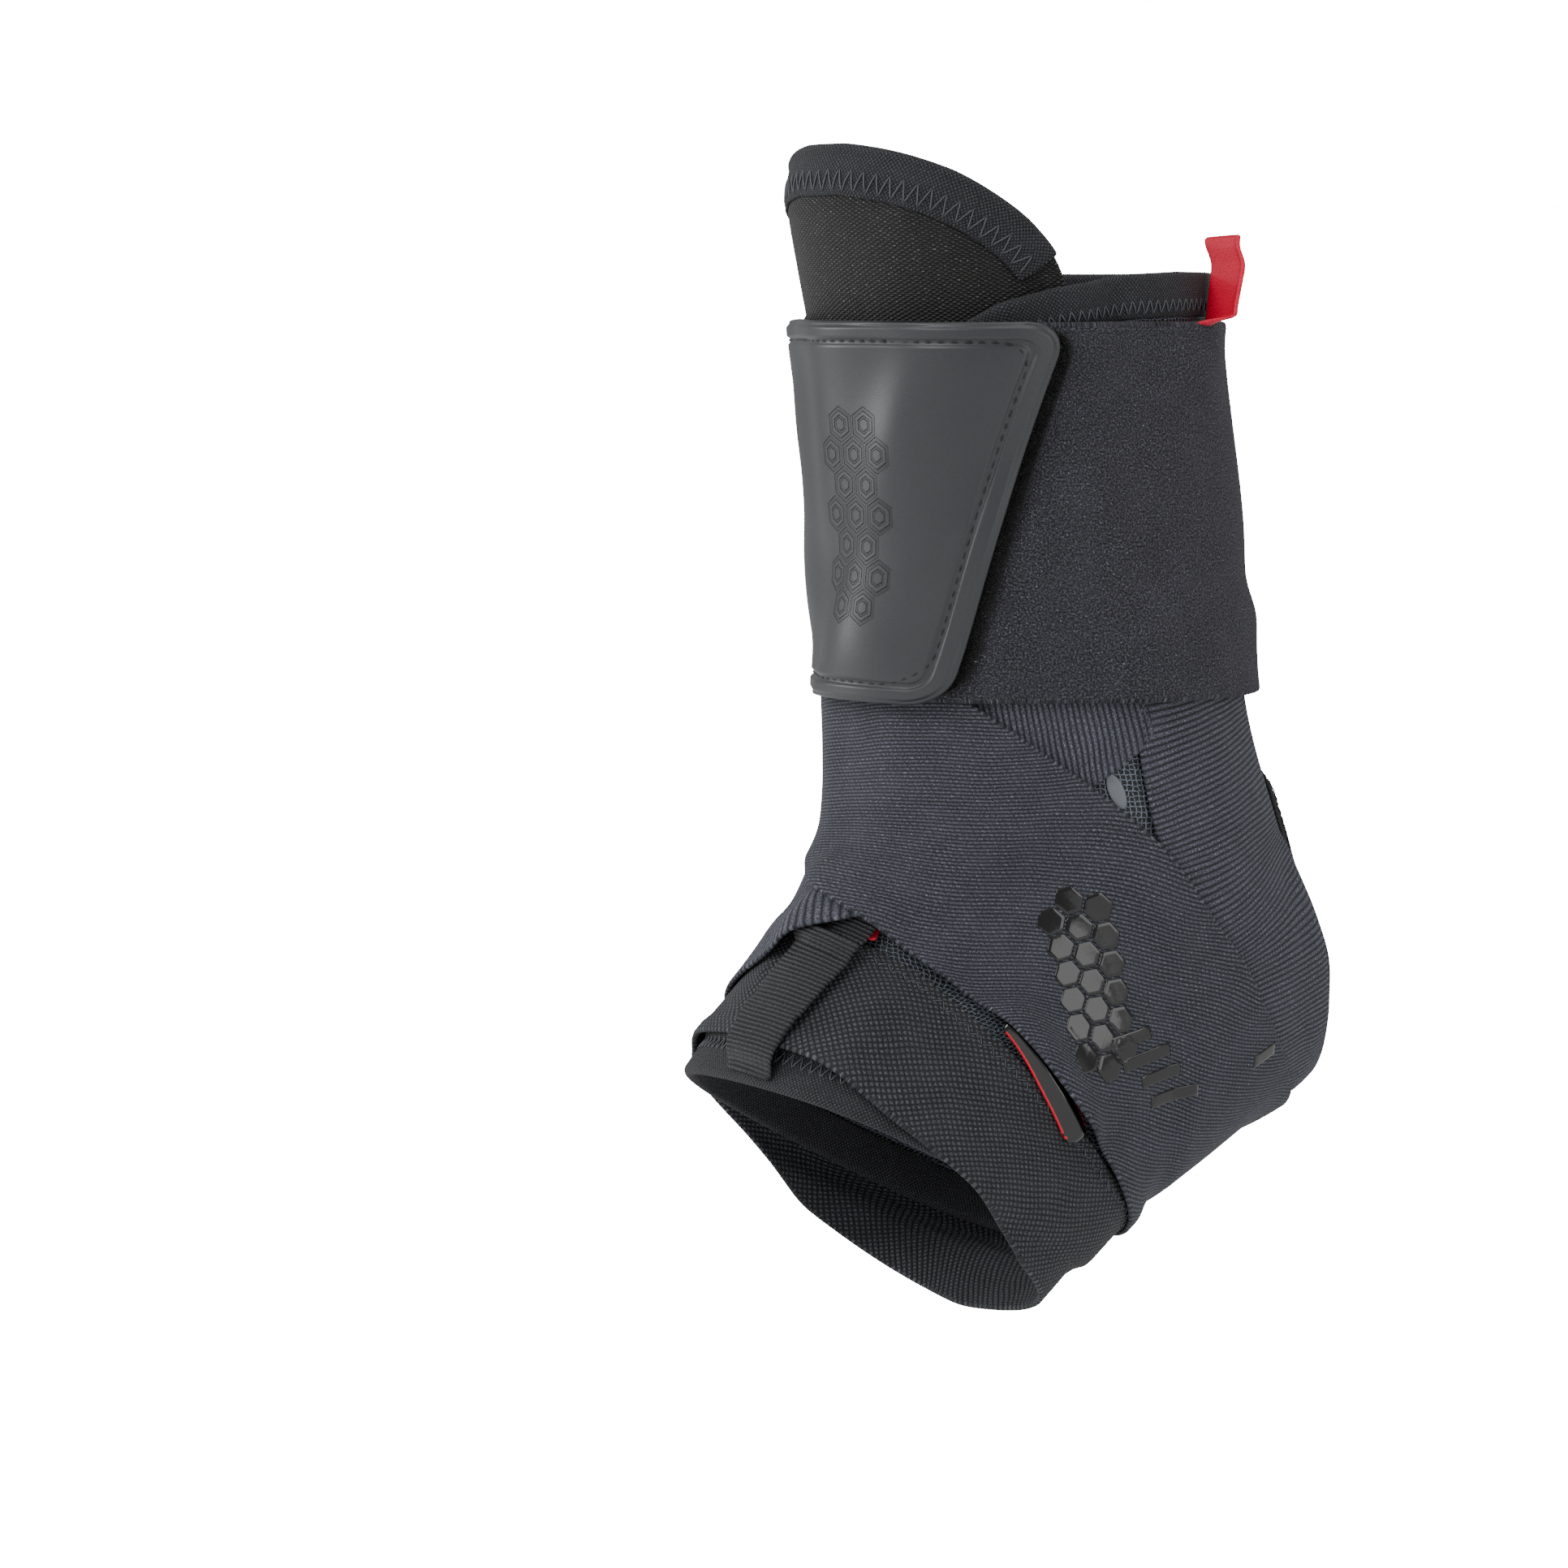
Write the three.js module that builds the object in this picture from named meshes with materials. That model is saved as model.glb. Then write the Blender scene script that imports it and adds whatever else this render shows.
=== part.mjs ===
// Ankle brace for the left side: a padded tongue, a boot of mesh cloth open at the heel, an elastic
// band round the boot's front end, two crossing straps that lock the heel, a cuff with a rubber
// closure panel, and the small tabs, label and bindings on them.
// Millimetres. The origin is the middle of the ankle, +Z runs up the shaft, the boot's front end
// points to -Y, and +X is the outer side.
import * as THREE from 'three';

// Driving sizes of the inner shape that all cloths lie on
const cuffBottom = 27;       // the cuff's lower edge above the origin
const cuffHeight = 71;       // width of the cuff's cloth, up the shaft
const tongueAbove = 33;      // the tongue's top above the cuff's upper edge
const shapeAbove = 21;       // the inner shape runs on above the tongue's top
const soleDrop = 111;        // from the origin down to the sole at the front end
const frontReach = 93;       // from the origin forward to the instep at the front end
const heelBack = 70;         // from the origin back to the heel
const ankleWidth = 75;       // scale for all widths, across the ankle

// Cloth and clearances
const lining = 0.4;          // between the inner shape and the innermost cloth
const gap = 0.35;            // between two cloths that lie on each other
const tongueThickness = 1.4;
const tonguePad = 4.2;       // more foam in the middle of the tongue's visible top
const bodyThickness = 1.0;
const bandThickness = 1.2;
const strapThickness = 1.0;
const cuffThickness = 1.5;
const hookThickness = 0.9;
const panelThickness = 1.6;
const bindingThickness = 0.7;
const webbingThickness = 0.9;
const webbingBow = 1.3;      // the pull tab stands off the band in its middle
const ribbonThickness = 0.7;
const tabThickness = 1.0;

// Widths of strips, bindings and tabs
const strapWidth = 47;
const bindingWidth = 7;
const heelBindingWidth = 5.5;
const foldRoom = 0.12;       // a binding's flaps stand this much further off its cloth
const hemAbove = 9;          // the boot's top hem above the cuff's upper edge
const webbingWidth = 11.5;
const ribbonWidth = 5;
const ribbonLength = 17;
const keeperHeight = 8;
const labelWidth = 7;
const labelLength = 24;
const backTabWidth = 7.5;
const backTabHeight = 25;
const backTabTuck = 7;       // how far the back tab runs down under the cuff
const hookShow = 3;          // the hook tape shows this far past the panel's slanted edge
const hookDepth = 26;        // width of the hook tape under the panel
const panelCorner = 7;       // radius of the panel's two outer corners
const endTabLength = 15;
const endTabInset = 2;       // the end tabs stop this far inside the straps' ends and edges
const endTabSlant = 2;
const startRun = 16;         // the inner strap's cut start, from the path's first point
const startSlant = 11;       // the inner strap's cut start leans by this much at each edge
const strapTaper = 0.8;      // a strap's width at its upper end, for its width in full
const panelOver = 0.7;       // the panel reaches this far past the cuff's edges

// Spacing of the facets
const alongStep = 8;
const acrossStep = 6.8;
const facetSize = 7.8;

const formRise = cuffBottom + cuffHeight + tongueAbove + shapeAbove;
const cuffTop = cuffBottom + cuffHeight;

// The inner shape as sections that fan out round the bend of the ankle, from the top of the shaft to
// the front end of the boot. A section's front lies on the shaft's front or the instep, and its back
// on the shaft's back, the heel or the sole. Forward lengths are shares of frontReach, or of heelBack
// behind the ankle; heights are shares of formRise, or of soleDrop below the ankle; half widths are
// shares of ankleWidth.
const FORM_COLUMNS = ['frontForward', 'frontUp', 'backForward', 'backUp', 'half', 'square'];
const FORM = [
  [0.600, 1.000, -0.414, 1.000, 0.500, 0.00],
  [0.560, 0.842, -0.421, 0.842, 0.480, 0.00],
  [0.495, 0.645, -0.443, 0.638, 0.433, 0.00],
  [0.489, 0.408, -0.521, 0.395, 0.453, 0.00],
  [0.452, 0.178, -0.571, 0.158, 0.467, -0.02],
  [0.465, 0.015, -0.786, -0.072, 0.487, -0.03],
  [0.535, -0.088, -1.000, -0.297, 0.473, -0.02],
  [0.590, -0.175, -0.871, -0.468, 0.453, 0.00],
  [0.655, -0.252, -0.543, -0.562, 0.450, 0.01],
  [0.748, -0.350, -0.129, -0.680, 0.462, 0.03],
  [0.860, -0.472, 0.204, -0.832, 0.493, 0.05],
  [1.000, -0.613, 0.505, -1.000, 0.533, 0.05],
];
const lastStation = FORM.length - 1;

// A place on the shape is (u, v): u is the angle round a section, 0 at the front, 90 on the outer
// side, 180 at the back and -90 on the inner side; v is the number of the section, with fractions.

/** Value between b and c of a smooth curve through a, b, c and d. */
function smoothBetween(a, b, c, d, t) {
  const square = (2 * a - 5 * b + 4 * c - d) * t * t;
  const cube = (3 * b - a - 3 * c + d) * t ** 3;
  return 0.5 * (2 * b + (c - a) * t + square + cube);
}

/** Lengths of a section in mm, from its shares. */
function sectionSizes(row) {
  const share = Object.fromEntries(FORM_COLUMNS.map((name, k) => [name, row[k]]));
  const forward = (x) => x * (x > 0 ? frontReach : heelBack);
  const up = (z) => z * (z > 0 ? formRise : soleDrop);
  return [forward(share.frontForward), up(share.frontUp), forward(share.backForward), up(share.backUp),
    share.half * ankleWidth, share.square];
}

const SECTIONS = FORM.map(sectionSizes);

/** The section at station v, between the two nearest rows. */
function sectionAt(v) {
  const held = Math.min(Math.max(v, 0), lastStation - 1e-9);
  const i = Math.floor(held);
  const before = (k) => (i > 0 ? SECTIONS[i - 1][k] : 2 * SECTIONS[0][k] - SECTIONS[1][k]);
  const after = (k) => (i + 2 <= lastStation ? SECTIONS[i + 2][k]
    : 2 * SECTIONS[lastStation][k] - SECTIONS[lastStation - 1][k]);
  return SECTIONS[i].map((x, k) => smoothBetween(before(k), x, SECTIONS[i + 1][k], after(k), held - i));
}

/** Point of the inner shape at (u, v). */
function pointAt(u, v) {
  const [frontForward, frontUp, backForward, backUp, half, square] = sectionAt(v);
  const angle = THREE.MathUtils.degToRad(u);
  const ahead = (Math.cos(angle) - square * Math.cos(3 * angle)) / (1 - square);
  const aside = (Math.sin(angle) + square * Math.sin(3 * angle)) / (1 - square);
  return new THREE.Vector3(half * aside,
    -(frontForward + backForward + (frontForward - backForward) * ahead) / 2,
    (frontUp + backUp + (frontUp - backUp) * ahead) / 2);
}

/** Derivatives of the shape at (u, v), per degree and per station, and its outward normal. */
function frameAt(u, v) {
  const du = 0.05;
  const dv = 1e-3;
  const alongU = pointAt(u + du, v).sub(pointAt(u - du, v)).divideScalar(2 * du);
  const alongV = pointAt(u, v + dv).sub(pointAt(u, v - dv)).divideScalar(2 * dv);
  return { alongU, alongV, normal: alongV.clone().cross(alongU).normalize() };
}

/** Point at a height above the shape. */
function liftedPoint(u, v, height) {
  return pointAt(u, v).addScaledVector(frameAt(u, v).normal, height);
}

/** Place reached from (u, v) by walking a distance over the shape in a direction. */
function walk([u, v], direction, distance) {
  const steps = Math.max(1, Math.ceil(Math.abs(distance) / 3));
  const heading = direction.clone();
  for (let k = 0; k < steps; k += 1) {
    const { alongU, alongV, normal } = frameAt(u, v);
    heading.addScaledVector(normal, -heading.dot(normal)).normalize();
    const move = distance / steps;
    const [uu, uv, vv] = [alongU.dot(alongU), alongU.dot(alongV), alongV.dot(alongV)];
    const [hu, hv] = [heading.dot(alongU) * move, heading.dot(alongV) * move];
    const det = uu * vv - uv * uv;
    u += (vv * hu - uv * hv) / det;
    v += (uu * hv - uv * hu) / det;
  }
  return [u, v];
}

/** Station whose middle lies at height z, found by halving. */
function stationAt(z) {
  let [low, high] = [0, lastStation];
  for (let k = 0; k < 40; k += 1) {
    const middle = (low + high) / 2;
    const [, frontUp, , backUp] = sectionAt(middle);
    if ((frontUp + backUp) / 2 > z) low = middle; else high = middle;
  }
  return low;
}

/** Looks x up in rows of [x, y], with straight lines between them. */
function lookUp(table, x) {
  if (x <= table[0][0]) return table[0][1];
  const last = table.length - 1;
  if (x >= table[last][0]) return table[last][1];
  const i = table.findIndex((row) => row[0] > x) - 1;
  const t = (x - table[i][0]) / (table[i + 1][0] - table[i][0]);
  return THREE.MathUtils.lerp(table[i][1], table[i + 1][1], t);
}

/** Angle from the front, 0 to 180, the same on both sides. */
function fromFront(u) {
  const turned = ((u % 360) + 360) % 360;
  return turned > 180 ? 360 - turned : turned;
}

/** Numbers from a to b in a count of equal steps. */
function spread(a, b, count) {
  return Array.from({ length: count + 1 }, (_, k) => a + ((b - a) * k) / count);
}

// Every finished layer leaves its top surface here, so that later layers lie on it.
const laid = new Map();
const holdDistance = alongStep + 1.5;
const fallDistance = 7;

/** Room that flat facets need where the shape bends round a section, so that cloths stay apart. */
function facetRoom([u, v]) {
  const turn = 4;
  const span = pointAt(u + turn, v).distanceTo(pointAt(u - turn, v));
  const bend = frameAt(u + turn, v).normal.angleTo(frameAt(u - turn, v).normal) / span;
  return (bend * facetSize ** 2) / 8;
}

/** Height of the underside of a cloth at a place, over the layers named below it. */
function heightOver(place, below) {
  const p = pointAt(...place);
  const room = gap + facetRoom(place);
  let height = lining;
  for (const name of below) {
    for (const sample of laid.get(name)) {
      const distance = p.distanceTo(sample.point);
      if (distance >= holdDistance + fallDistance) continue;
      const x = THREE.MathUtils.clamp((distance - holdDistance) / fallDistance, 0, 1);
      const weight = 1 - x * x * (3 - 2 * x);
      height = Math.max(height, lining + (sample.top + room - lining) * weight);
    }
  }
  return height;
}

/** Lowest underside of a laid cloth near a place. */
function lowestNear(place, name) {
  const p = pointAt(...place);
  const near = laid.get(name).filter((sample) => sample.point.distanceTo(p) < holdDistance);
  return Math.min(...near.map((sample) => sample.bottom));
}

/** One closed body from vertices and triangles. */
function bodyGeometry(vertices, triangles) {
  const geometry = new THREE.BufferGeometry();
  const numbers = vertices.flatMap((p) => p.toArray());
  geometry.setAttribute('position', new THREE.Float32BufferAttribute(numbers, 3));
  geometry.setIndex(triangles.flat());
  geometry.computeVertexNormals();
  return geometry;
}

const group = new THREE.Group();

/** Adds a named piece with its own material. */
function addPiece(name, geometry, look) {
  const material = new THREE.MeshStandardMaterial(look);
  const mesh = new THREE.Mesh(geometry, material);
  mesh.name = name;
  group.add(mesh);
}

/**
 * A sheet of cloth on a grid of places. It lies on the layers below it, and its top is kept for the
 * layers above. Cells can be left out for openings, and rows can close to a ring.
 */
function sheet(name, grid, look, { thickness, below, wraps = () => false, hasCell = () => true,
  extra = () => 0 }) {
  const columns = grid[0].length;
  const thick = typeof thickness === 'function' ? thickness : () => thickness;
  const bottom = (place) => heightOver(place, below) + extra(place);
  const heights = grid.map((row) => row.map(bottom));
  const tops = grid.map((row, i) => row.map((place, j) => heights[i][j] + thick(place)));
  const inner = grid.map((row, i) => row.map((place, j) => liftedPoint(...place, heights[i][j])));
  const outer = grid.map((row, i) => row.map((place, j) => liftedPoint(...place, tops[i][j])));
  const at = (i, j) => i * columns + (j % columns);
  const total = grid.length * columns;
  const turn = inner[1][0].clone().sub(inner[0][0]).cross(inner[0][1].clone().sub(inner[0][0]));
  const flipped = turn.dot(frameAt(...grid[0][0]).normal) < 0;
  const loops = [];
  for (let i = 0; i < grid.length - 1; i += 1) {
    for (let j = 0; j < columns; j += 1) {
      if (j === columns - 1 && !wraps(i)) continue;
      if (!hasCell(i, j)) continue;
      const loop = [at(i, j), at(i + 1, j), at(i + 1, j + 1), at(i, j + 1)];
      loops.push(flipped ? loop.reverse() : loop);
    }
  }
  const all = [...outer.flat(), ...inner.flat()];
  const triangles = [];
  const sides = new Set(loops.flatMap((loop) => loop.map((p, k) => `${p},${loop[(k + 1) % 4]}`)));
  for (const [a, b, c, d] of loops) {
    const shortSplit = all[a].distanceTo(all[c]) < all[b].distanceTo(all[d]) - 1e-6;
    for (const [p, q, r] of shortSplit ? [[a, b, c], [a, c, d]] : [[a, b, d], [b, c, d]]) {
      triangles.push([p, q, r], [total + p, total + r, total + q]);
    }
  }
  for (const side of sides) {
    const [p, q] = side.split(',').map(Number);
    if (!sides.has(`${q},${p}`)) triangles.push([q, p, total + p], [q, total + p, total + q]);
  }
  const used = [...new Set(triangles.flat())];
  const numberOf = new Map(used.map((old, k) => [old, k]));
  laid.set(name, used.filter((k) => k < total).map((k) => {
    const [i, j] = [Math.floor(k / columns), k % columns];
    return { point: pointAt(...grid[i][j]), top: tops[i][j], bottom: heights[i][j] };
  }));
  const faces = triangles.map((corners) => corners.map((k) => numberOf.get(k)));
  addPiece(name, bodyGeometry(used.map((k) => all[k]), faces), look);
}

/**
 * A binding folded round a sheet's edge: an outer flap, the fold, and an inner flap. The path runs
 * along the edge of a laid cloth; side is 1 where the cloth lies to its left seen from outside, or -1.
 */
function binding(name, path, side, clothName, look, { closed = false, width = bindingWidth } = {}) {
  const points = path.map(([u, v]) => pointAt(u, v));
  const count = path.length;
  const rings = path.map((place, k) => {
    const before = closed ? points[(k + count - 1) % count] : points[Math.max(k - 1, 0)];
    const after = closed ? points[(k + 1) % count] : points[Math.min(k + 1, count - 1)];
    const inward = frameAt(...place).normal.cross(after.clone().sub(before)).normalize();
    inward.multiplyScalar(side);
    const foldIn = walk(place, inward, -gap);
    const foldOut = walk(place, inward, -gap - bindingThickness);
    const flapEnd = walk(place, inward, width - bindingThickness);
    const [edgeTop, endTop] = [place, flapEnd].map((spot) => heightOver(spot, [clothName]) + foldRoom);
    const [edge, end] = [place, flapEnd].map((spot) => lowestNear(spot, clothName) - foldRoom);
    const tops = [endTop + bindingThickness, edgeTop + bindingThickness];
    const [endLow, edgeLow] = [end - gap - bindingThickness, edge - gap - bindingThickness];
    return {
      places: [flapEnd, place],
      tops,
      corners: [
        liftedPoint(...flapEnd, endTop), liftedPoint(...flapEnd, tops[0]),
        liftedPoint(...foldOut, tops[1]), liftedPoint(...foldOut, edgeLow),
        liftedPoint(...flapEnd, endLow), liftedPoint(...flapEnd, end - gap),
        liftedPoint(...foldIn, edge - gap), liftedPoint(...foldIn, edgeTop),
      ],
    };
  });
  const size = 8;
  const triangles = [];
  const quad = (a, b, c, d) => {
    if (side < 0) triangles.push([a, b, c], [a, c, d]); else triangles.push([a, c, b], [a, d, c]);
  };
  for (let k = 0; k < (closed ? count : count - 1); k += 1) {
    const [base, next] = [k * size, ((k + 1) % count) * size];
    for (let m = 0; m < size; m += 1) {
      const n = (m + 1) % size;
      quad(base + m, next + m, next + n, base + n);
    }
  }
  if (!closed) {
    const last = (count - 1) * size;
    for (const [a, b, c, d] of [[0, 1, 2, 7], [7, 2, 3, 6], [6, 3, 4, 5]]) {
      quad(a, b, c, d);
      quad(last + d, last + c, last + b, last + a);
    }
  }
  laid.set(name, rings.flatMap((ring) => ring.places.map((place, k) => ({
    point: pointAt(...place), top: ring.tops[k],
  }))));
  addPiece(name, bodyGeometry(rings.flatMap((ring) => ring.corners), triangles), look);
}

/** Many close places along a smooth path through rows of (u, v), with the length run at each. */
function tracePath(rows) {
  const steps = 24;
  const trace = [];
  for (let i = 0; i < rows.length - 1; i += 1) {
    const before = rows[i - 1] ?? rows[0].map((x, k) => 2 * x - rows[1][k]);
    const after = rows[i + 2] ?? rows[i + 1].map((x, k) => 2 * x - rows[i][k]);
    for (let s = 0; s < steps; s += 1) {
      trace.push(rows[i].map((x, k) => smoothBetween(before[k], x, rows[i + 1][k], after[k], s / steps)));
    }
  }
  trace.push([...rows[rows.length - 1]]);
  let run = 0;
  return trace.map(([u, v], k) => {
    const point = pointAt(u, v);
    if (k > 0) run += point.distanceTo(pointAt(trace[k - 1][0], trace[k - 1][1]));
    return { place: [u, v], point, run };
  });
}

/** Place and heading of a traced path at a length along it. */
function alongTrace(trace, length) {
  const held = Math.min(Math.max(length, 0), trace[trace.length - 1].run - 1e-6);
  const k = trace.findIndex((sample) => sample.run > held);
  const [a, b] = [trace[k - 1], trace[k]];
  const t = (held - a.run) / (b.run - a.run);
  const far = trace[Math.min(k + 4, trace.length - 1)];
  const near = trace[Math.max(k - 5, 0)];
  return {
    place: a.place.map((x, m) => THREE.MathUtils.lerp(x, b.place[m], t)),
    heading: far.point.clone().sub(near.point).normalize(),
  };
}

/**
 * Grid of a strip along a traced path, from one length to another. A start that slants leaves out
 * this much more at one side of the strip than in its middle.
 */
function stripGrid(trace, width, { from = 0, to = trace[trace.length - 1].run, slantFrom = 0,
  step = alongStep, across = acrossStep, widthAt = () => 1 } = {}) {
  const rows = Math.max(2, Math.round((to - from) / step));
  const columns = Math.max(1, Math.round(width / across));
  return spread(0, 1, rows).map((t) => spread(-0.5, 0.5, columns).map((b) => {
    const start = from + slantFrom * 2 * b;
    const { place, heading } = alongTrace(trace, THREE.MathUtils.lerp(start, to, t));
    const aside = frameAt(...place).normal.cross(heading).normalize();
    return walk(place, aside, b * width * widthAt(t));
  }));
}

/** Grid between an upper and a lower edge, each a station for an angle. */
function beltGrid(angles, rows, upper, lower) {
  return spread(0, 1, rows).map((t) => angles.map((u) => [u, THREE.MathUtils.lerp(upper(u), lower(u), t)]));
}

const stationCuffTop = stationAt(cuffTop);
const stationCuffBottom = stationAt(cuffBottom);
const stationHem = stationAt(cuffTop + hemAbove);
const stationTongueTop = stationAt(cuffTop + tongueAbove);
const hemClearance = 0.12;

// Finishes: colour as seen in daylight, and how rough the surface is
const cloth = (color, roughness) => ({ color, roughness, metalness: 0 });
const paddedMesh = cloth('#2a2b2e', 0.85);
const knit = cloth('#212226', 0.8);
const bootMesh = cloth('#26282d', 0.85);
const elastic = cloth('#2b2d2f', 0.9);
const twill = cloth('#303138', 0.9);
const loopCloth = cloth('#29292e', 0.95);
const fuzz = cloth('#161618', 1);
const webbing = cloth('#1d1d20', 0.7);
const glossy = cloth('#141416', 0.3);
const rubber = cloth('#4a4c50', 0.5);
const red = cloth('#d8184a', 0.55);

// Tongue: a rounded tongue of padded mesh from the instep to above the cuff. Half its width as an
// angle, for shares of the way from its top to its lower end in the midfoot.
const TONGUE_WIDTH = [
  [0, 9], [0.006, 20], [0.014, 30], [0.026, 40], [0.045, 51], [0.07, 61], [0.1, 68], [0.14, 70],
  [0.2, 64], [0.3, 48], [0.45, 40], [0.7, 34], [1, 28],
];
const tongueEnd = 8.75;
const tongueColumns = 9;
const tongueShares = [...TONGUE_WIDTH.slice(0, 9).map((row) => row[0]), ...spread(0.26, 1, 13)];
const tongueLength = tongueEnd - stationTongueTop;
const tongueGrid = tongueShares.map((share) => spread(-1, 1, tongueColumns)
  .map((x) => [x * lookUp(TONGUE_WIDTH, share), stationTongueTop + share * tongueLength]));
/** Thickness of the tongue: its foam is thickest in the middle of the part above the cuff. */
function tongueFoam([u, v]) {
  const share = THREE.MathUtils.clamp((v - stationTongueTop) / tongueLength, 0, 1);
  const x = u / lookUp(TONGUE_WIDTH, share);
  const high = Math.min(share / 0.05, 1) * (1 - THREE.MathUtils.smoothstep(share, 0.1, 0.3));
  return tongueThickness + tonguePad * Math.max(0, 1 - x * x) ** 1.5 * high;
}
sheet('tongue', tongueGrid, paddedMesh, { thickness: tongueFoam, below: [] });

// The tongue's binding runs round its top and ends where the boot's hem covers it.
const boundRows = tongueGrid.slice(1).filter((row) => row[0][1] < stationHem - hemClearance);
const tongueRim = [
  ...boundRows.map((row) => row[0]).reverse(),
  ...tongueGrid[0].filter((_, k) => k % 3 === 0),
  ...boundRows.map((row) => row[tongueColumns]),
];
binding('tongue_binding', tongueRim, -1, 'tongue', knit);

// Boot: one sheet of mesh cloth for shaft and sole. A slit runs down its front over the tongue, and
// there is an opening at the heel. Half widths of both as angles, for stations;
// the top hem dips toward the slit, by stations for angles from the front.
const SLIT = [[2.0, 33], [2.3, 30], [3, 24], [4, 20], [6, 15], [8, 12], [8.5, 9]];
const HEEL_OPENING = [[4.78, 32], [5.22, 43], [5.8, 46], [6.28, 44], [6.66, 39], [7.1, 32], [7.4, 22]];
const HEM_DIP = [[33, 0.6], [41, 0.3], [52, 0.17], [66, 0.09], [90, 0.02], [110, 0]];
const slitEnd = 8.5;
const bodyFrontEnd = 9.45;
const slitFrontRows = 2;
const sideColumns = 13;
const backColumns = 6;
const openingRows = [4.78, 5.0, 5.22, 5.51, 5.8, 6.04, 6.28, 6.66, 7.1, 7.4];
const openingHigh = openingRows[0];
const openingLow = openingRows[openingRows.length - 1];
const bodyRows = [
  ...spread(stationHem, openingHigh, 10).slice(0, -1), ...openingRows,
  ...spread(openingLow, slitEnd, 4).slice(1, -1),
  ...spread(slitEnd, bodyFrontEnd, slitFrontRows),
];
const openingTop = bodyRows.indexOf(openingHigh);
const openingBottom = bodyRows.indexOf(openingLow);
const slitBottom = bodyRows.length - 1 - slitFrontRows;
/** Half angle of the columns behind the heel: the opening's, and narrower up the shaft. */
function backHalf(v) {
  if (v >= openingHigh) return lookUp(HEEL_OPENING, v);
  return THREE.MathUtils.mapLinear(v, stationHem, openingHigh, 30, 40);
}
/** The opening's upper and lower edges bow out to a round outline, x from its middle to its side. */
function bowAt(v, x) {
  const nearTop = Math.max(0, 1 - Math.abs(v - openingHigh) / 0.5);
  const nearBottom = Math.max(0, 1 - Math.abs(v - openingLow) / 0.6);
  return (0.3 * nearBottom - 0.2 * nearTop) * (1 - x * x);
}
const bodyGrid = bodyRows.map((v) => {
  const slit = lookUp(SLIT, v);
  const half = backHalf(v);
  const angles = [
    ...spread(slit, 180 - half, sideColumns),
    ...spread(180 - half, 180 + half, backColumns).slice(1, -1),
    ...spread(180 + half, 360 - slit, sideColumns),
  ];
  return angles.map((u) => {
    const x = Math.min(1, Math.abs(u - 180) / half);
    const dip = lookUp(HEM_DIP, fromFront(u)) * Math.max(0, 1 - (v - stationHem) / 1.2);
    return [u, v + dip + bowAt(v, x)];
  });
});
const bodyColumns = bodyGrid[0].length;
const inOpening = (i, j) => i >= openingTop && i < openingBottom
  && j >= sideColumns && j < sideColumns + backColumns;
// Beside the tongue the top hem stands off it by the thickness of its own binding.
const besideTongue = ([u, v]) => v < stationCuffTop + 0.35 && fromFront(u) < 80;
const bindingRoom = (place) => (besideTongue(place) ? bindingThickness + gap : 0);
sheet('boot_body', bodyGrid, bootMesh, {
  thickness: bodyThickness,
  below: ['tongue'],
  extra: bindingRoom,
  wraps: (i) => i >= slitBottom,
  hasCell: (i, j) => !inOpening(i, j),
});

// Bindings on the boot: the top hem, the heel opening and the front end
binding('top_hem_binding', bodyGrid[0].slice(1, bodyColumns - 1), -1, 'boot_body', knit);
const backIndices = spread(sideColumns, sideColumns + backColumns, backColumns);
const openingIndices = spread(openingTop, openingBottom, openingBottom - openingTop).slice(1, -1);
const heelEdge = [
  ...backIndices.map((j) => bodyGrid[openingTop][j]),
  ...openingIndices.map((i) => bodyGrid[i][sideColumns + backColumns]),
  ...backIndices.map((j) => bodyGrid[openingBottom][j]).reverse(),
  ...openingIndices.map((i) => bodyGrid[i][sideColumns]).reverse(),
];
binding('heel_binding', heelEdge, 1, 'boot_body', fuzz, { closed: true, width: heelBindingWidth });
binding('front_hem_binding', bodyGrid[bodyGrid.length - 1], 1, 'boot_body', knit, { closed: true });

// Elastic band round the boot's front end. Its edges slant: stations for angles from the front.
const BAND_TOP = [[0, 7.05], [20, 7.1], [40, 7.55], [56, 7.98], [79, 8.48], [111, 8.95], [140, 9.1],
  [180, 9.15]];
const BAND_BOTTOM = [[0, 9.0], [30, 9.1], [54, 9.4], [83, 9.6], [111, 9.9], [180, 10.1]];
const ringAngles = spread(0, 360, 40).slice(0, -1);
const bandEdge = (table) => (u) => lookUp(table, fromFront(u));
sheet('midfoot_band', beltGrid(ringAngles, 4, bandEdge(BAND_TOP), bandEdge(BAND_BOTTOM)), elastic, {
  thickness: bandThickness,
  below: ['tongue', 'boot_body', 'front_hem_binding'],
  wraps: () => true,
});

/** A short strip of cloth along a few places. */
function strip(name, rows, width, look, { thickness, below, extra }) {
  sheet(name, stripGrid(tracePath(rows), width, { step: 5, across: 6 }), look, { thickness, below, extra });
}

/** A straight run of a given length from one place toward another. */
function straightRun(place, toward, length) {
  const heading = pointAt(...toward).sub(pointAt(...place)).normalize();
  return [place, walk(place, heading, length / 2), walk(place, heading, length)];
}

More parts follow.
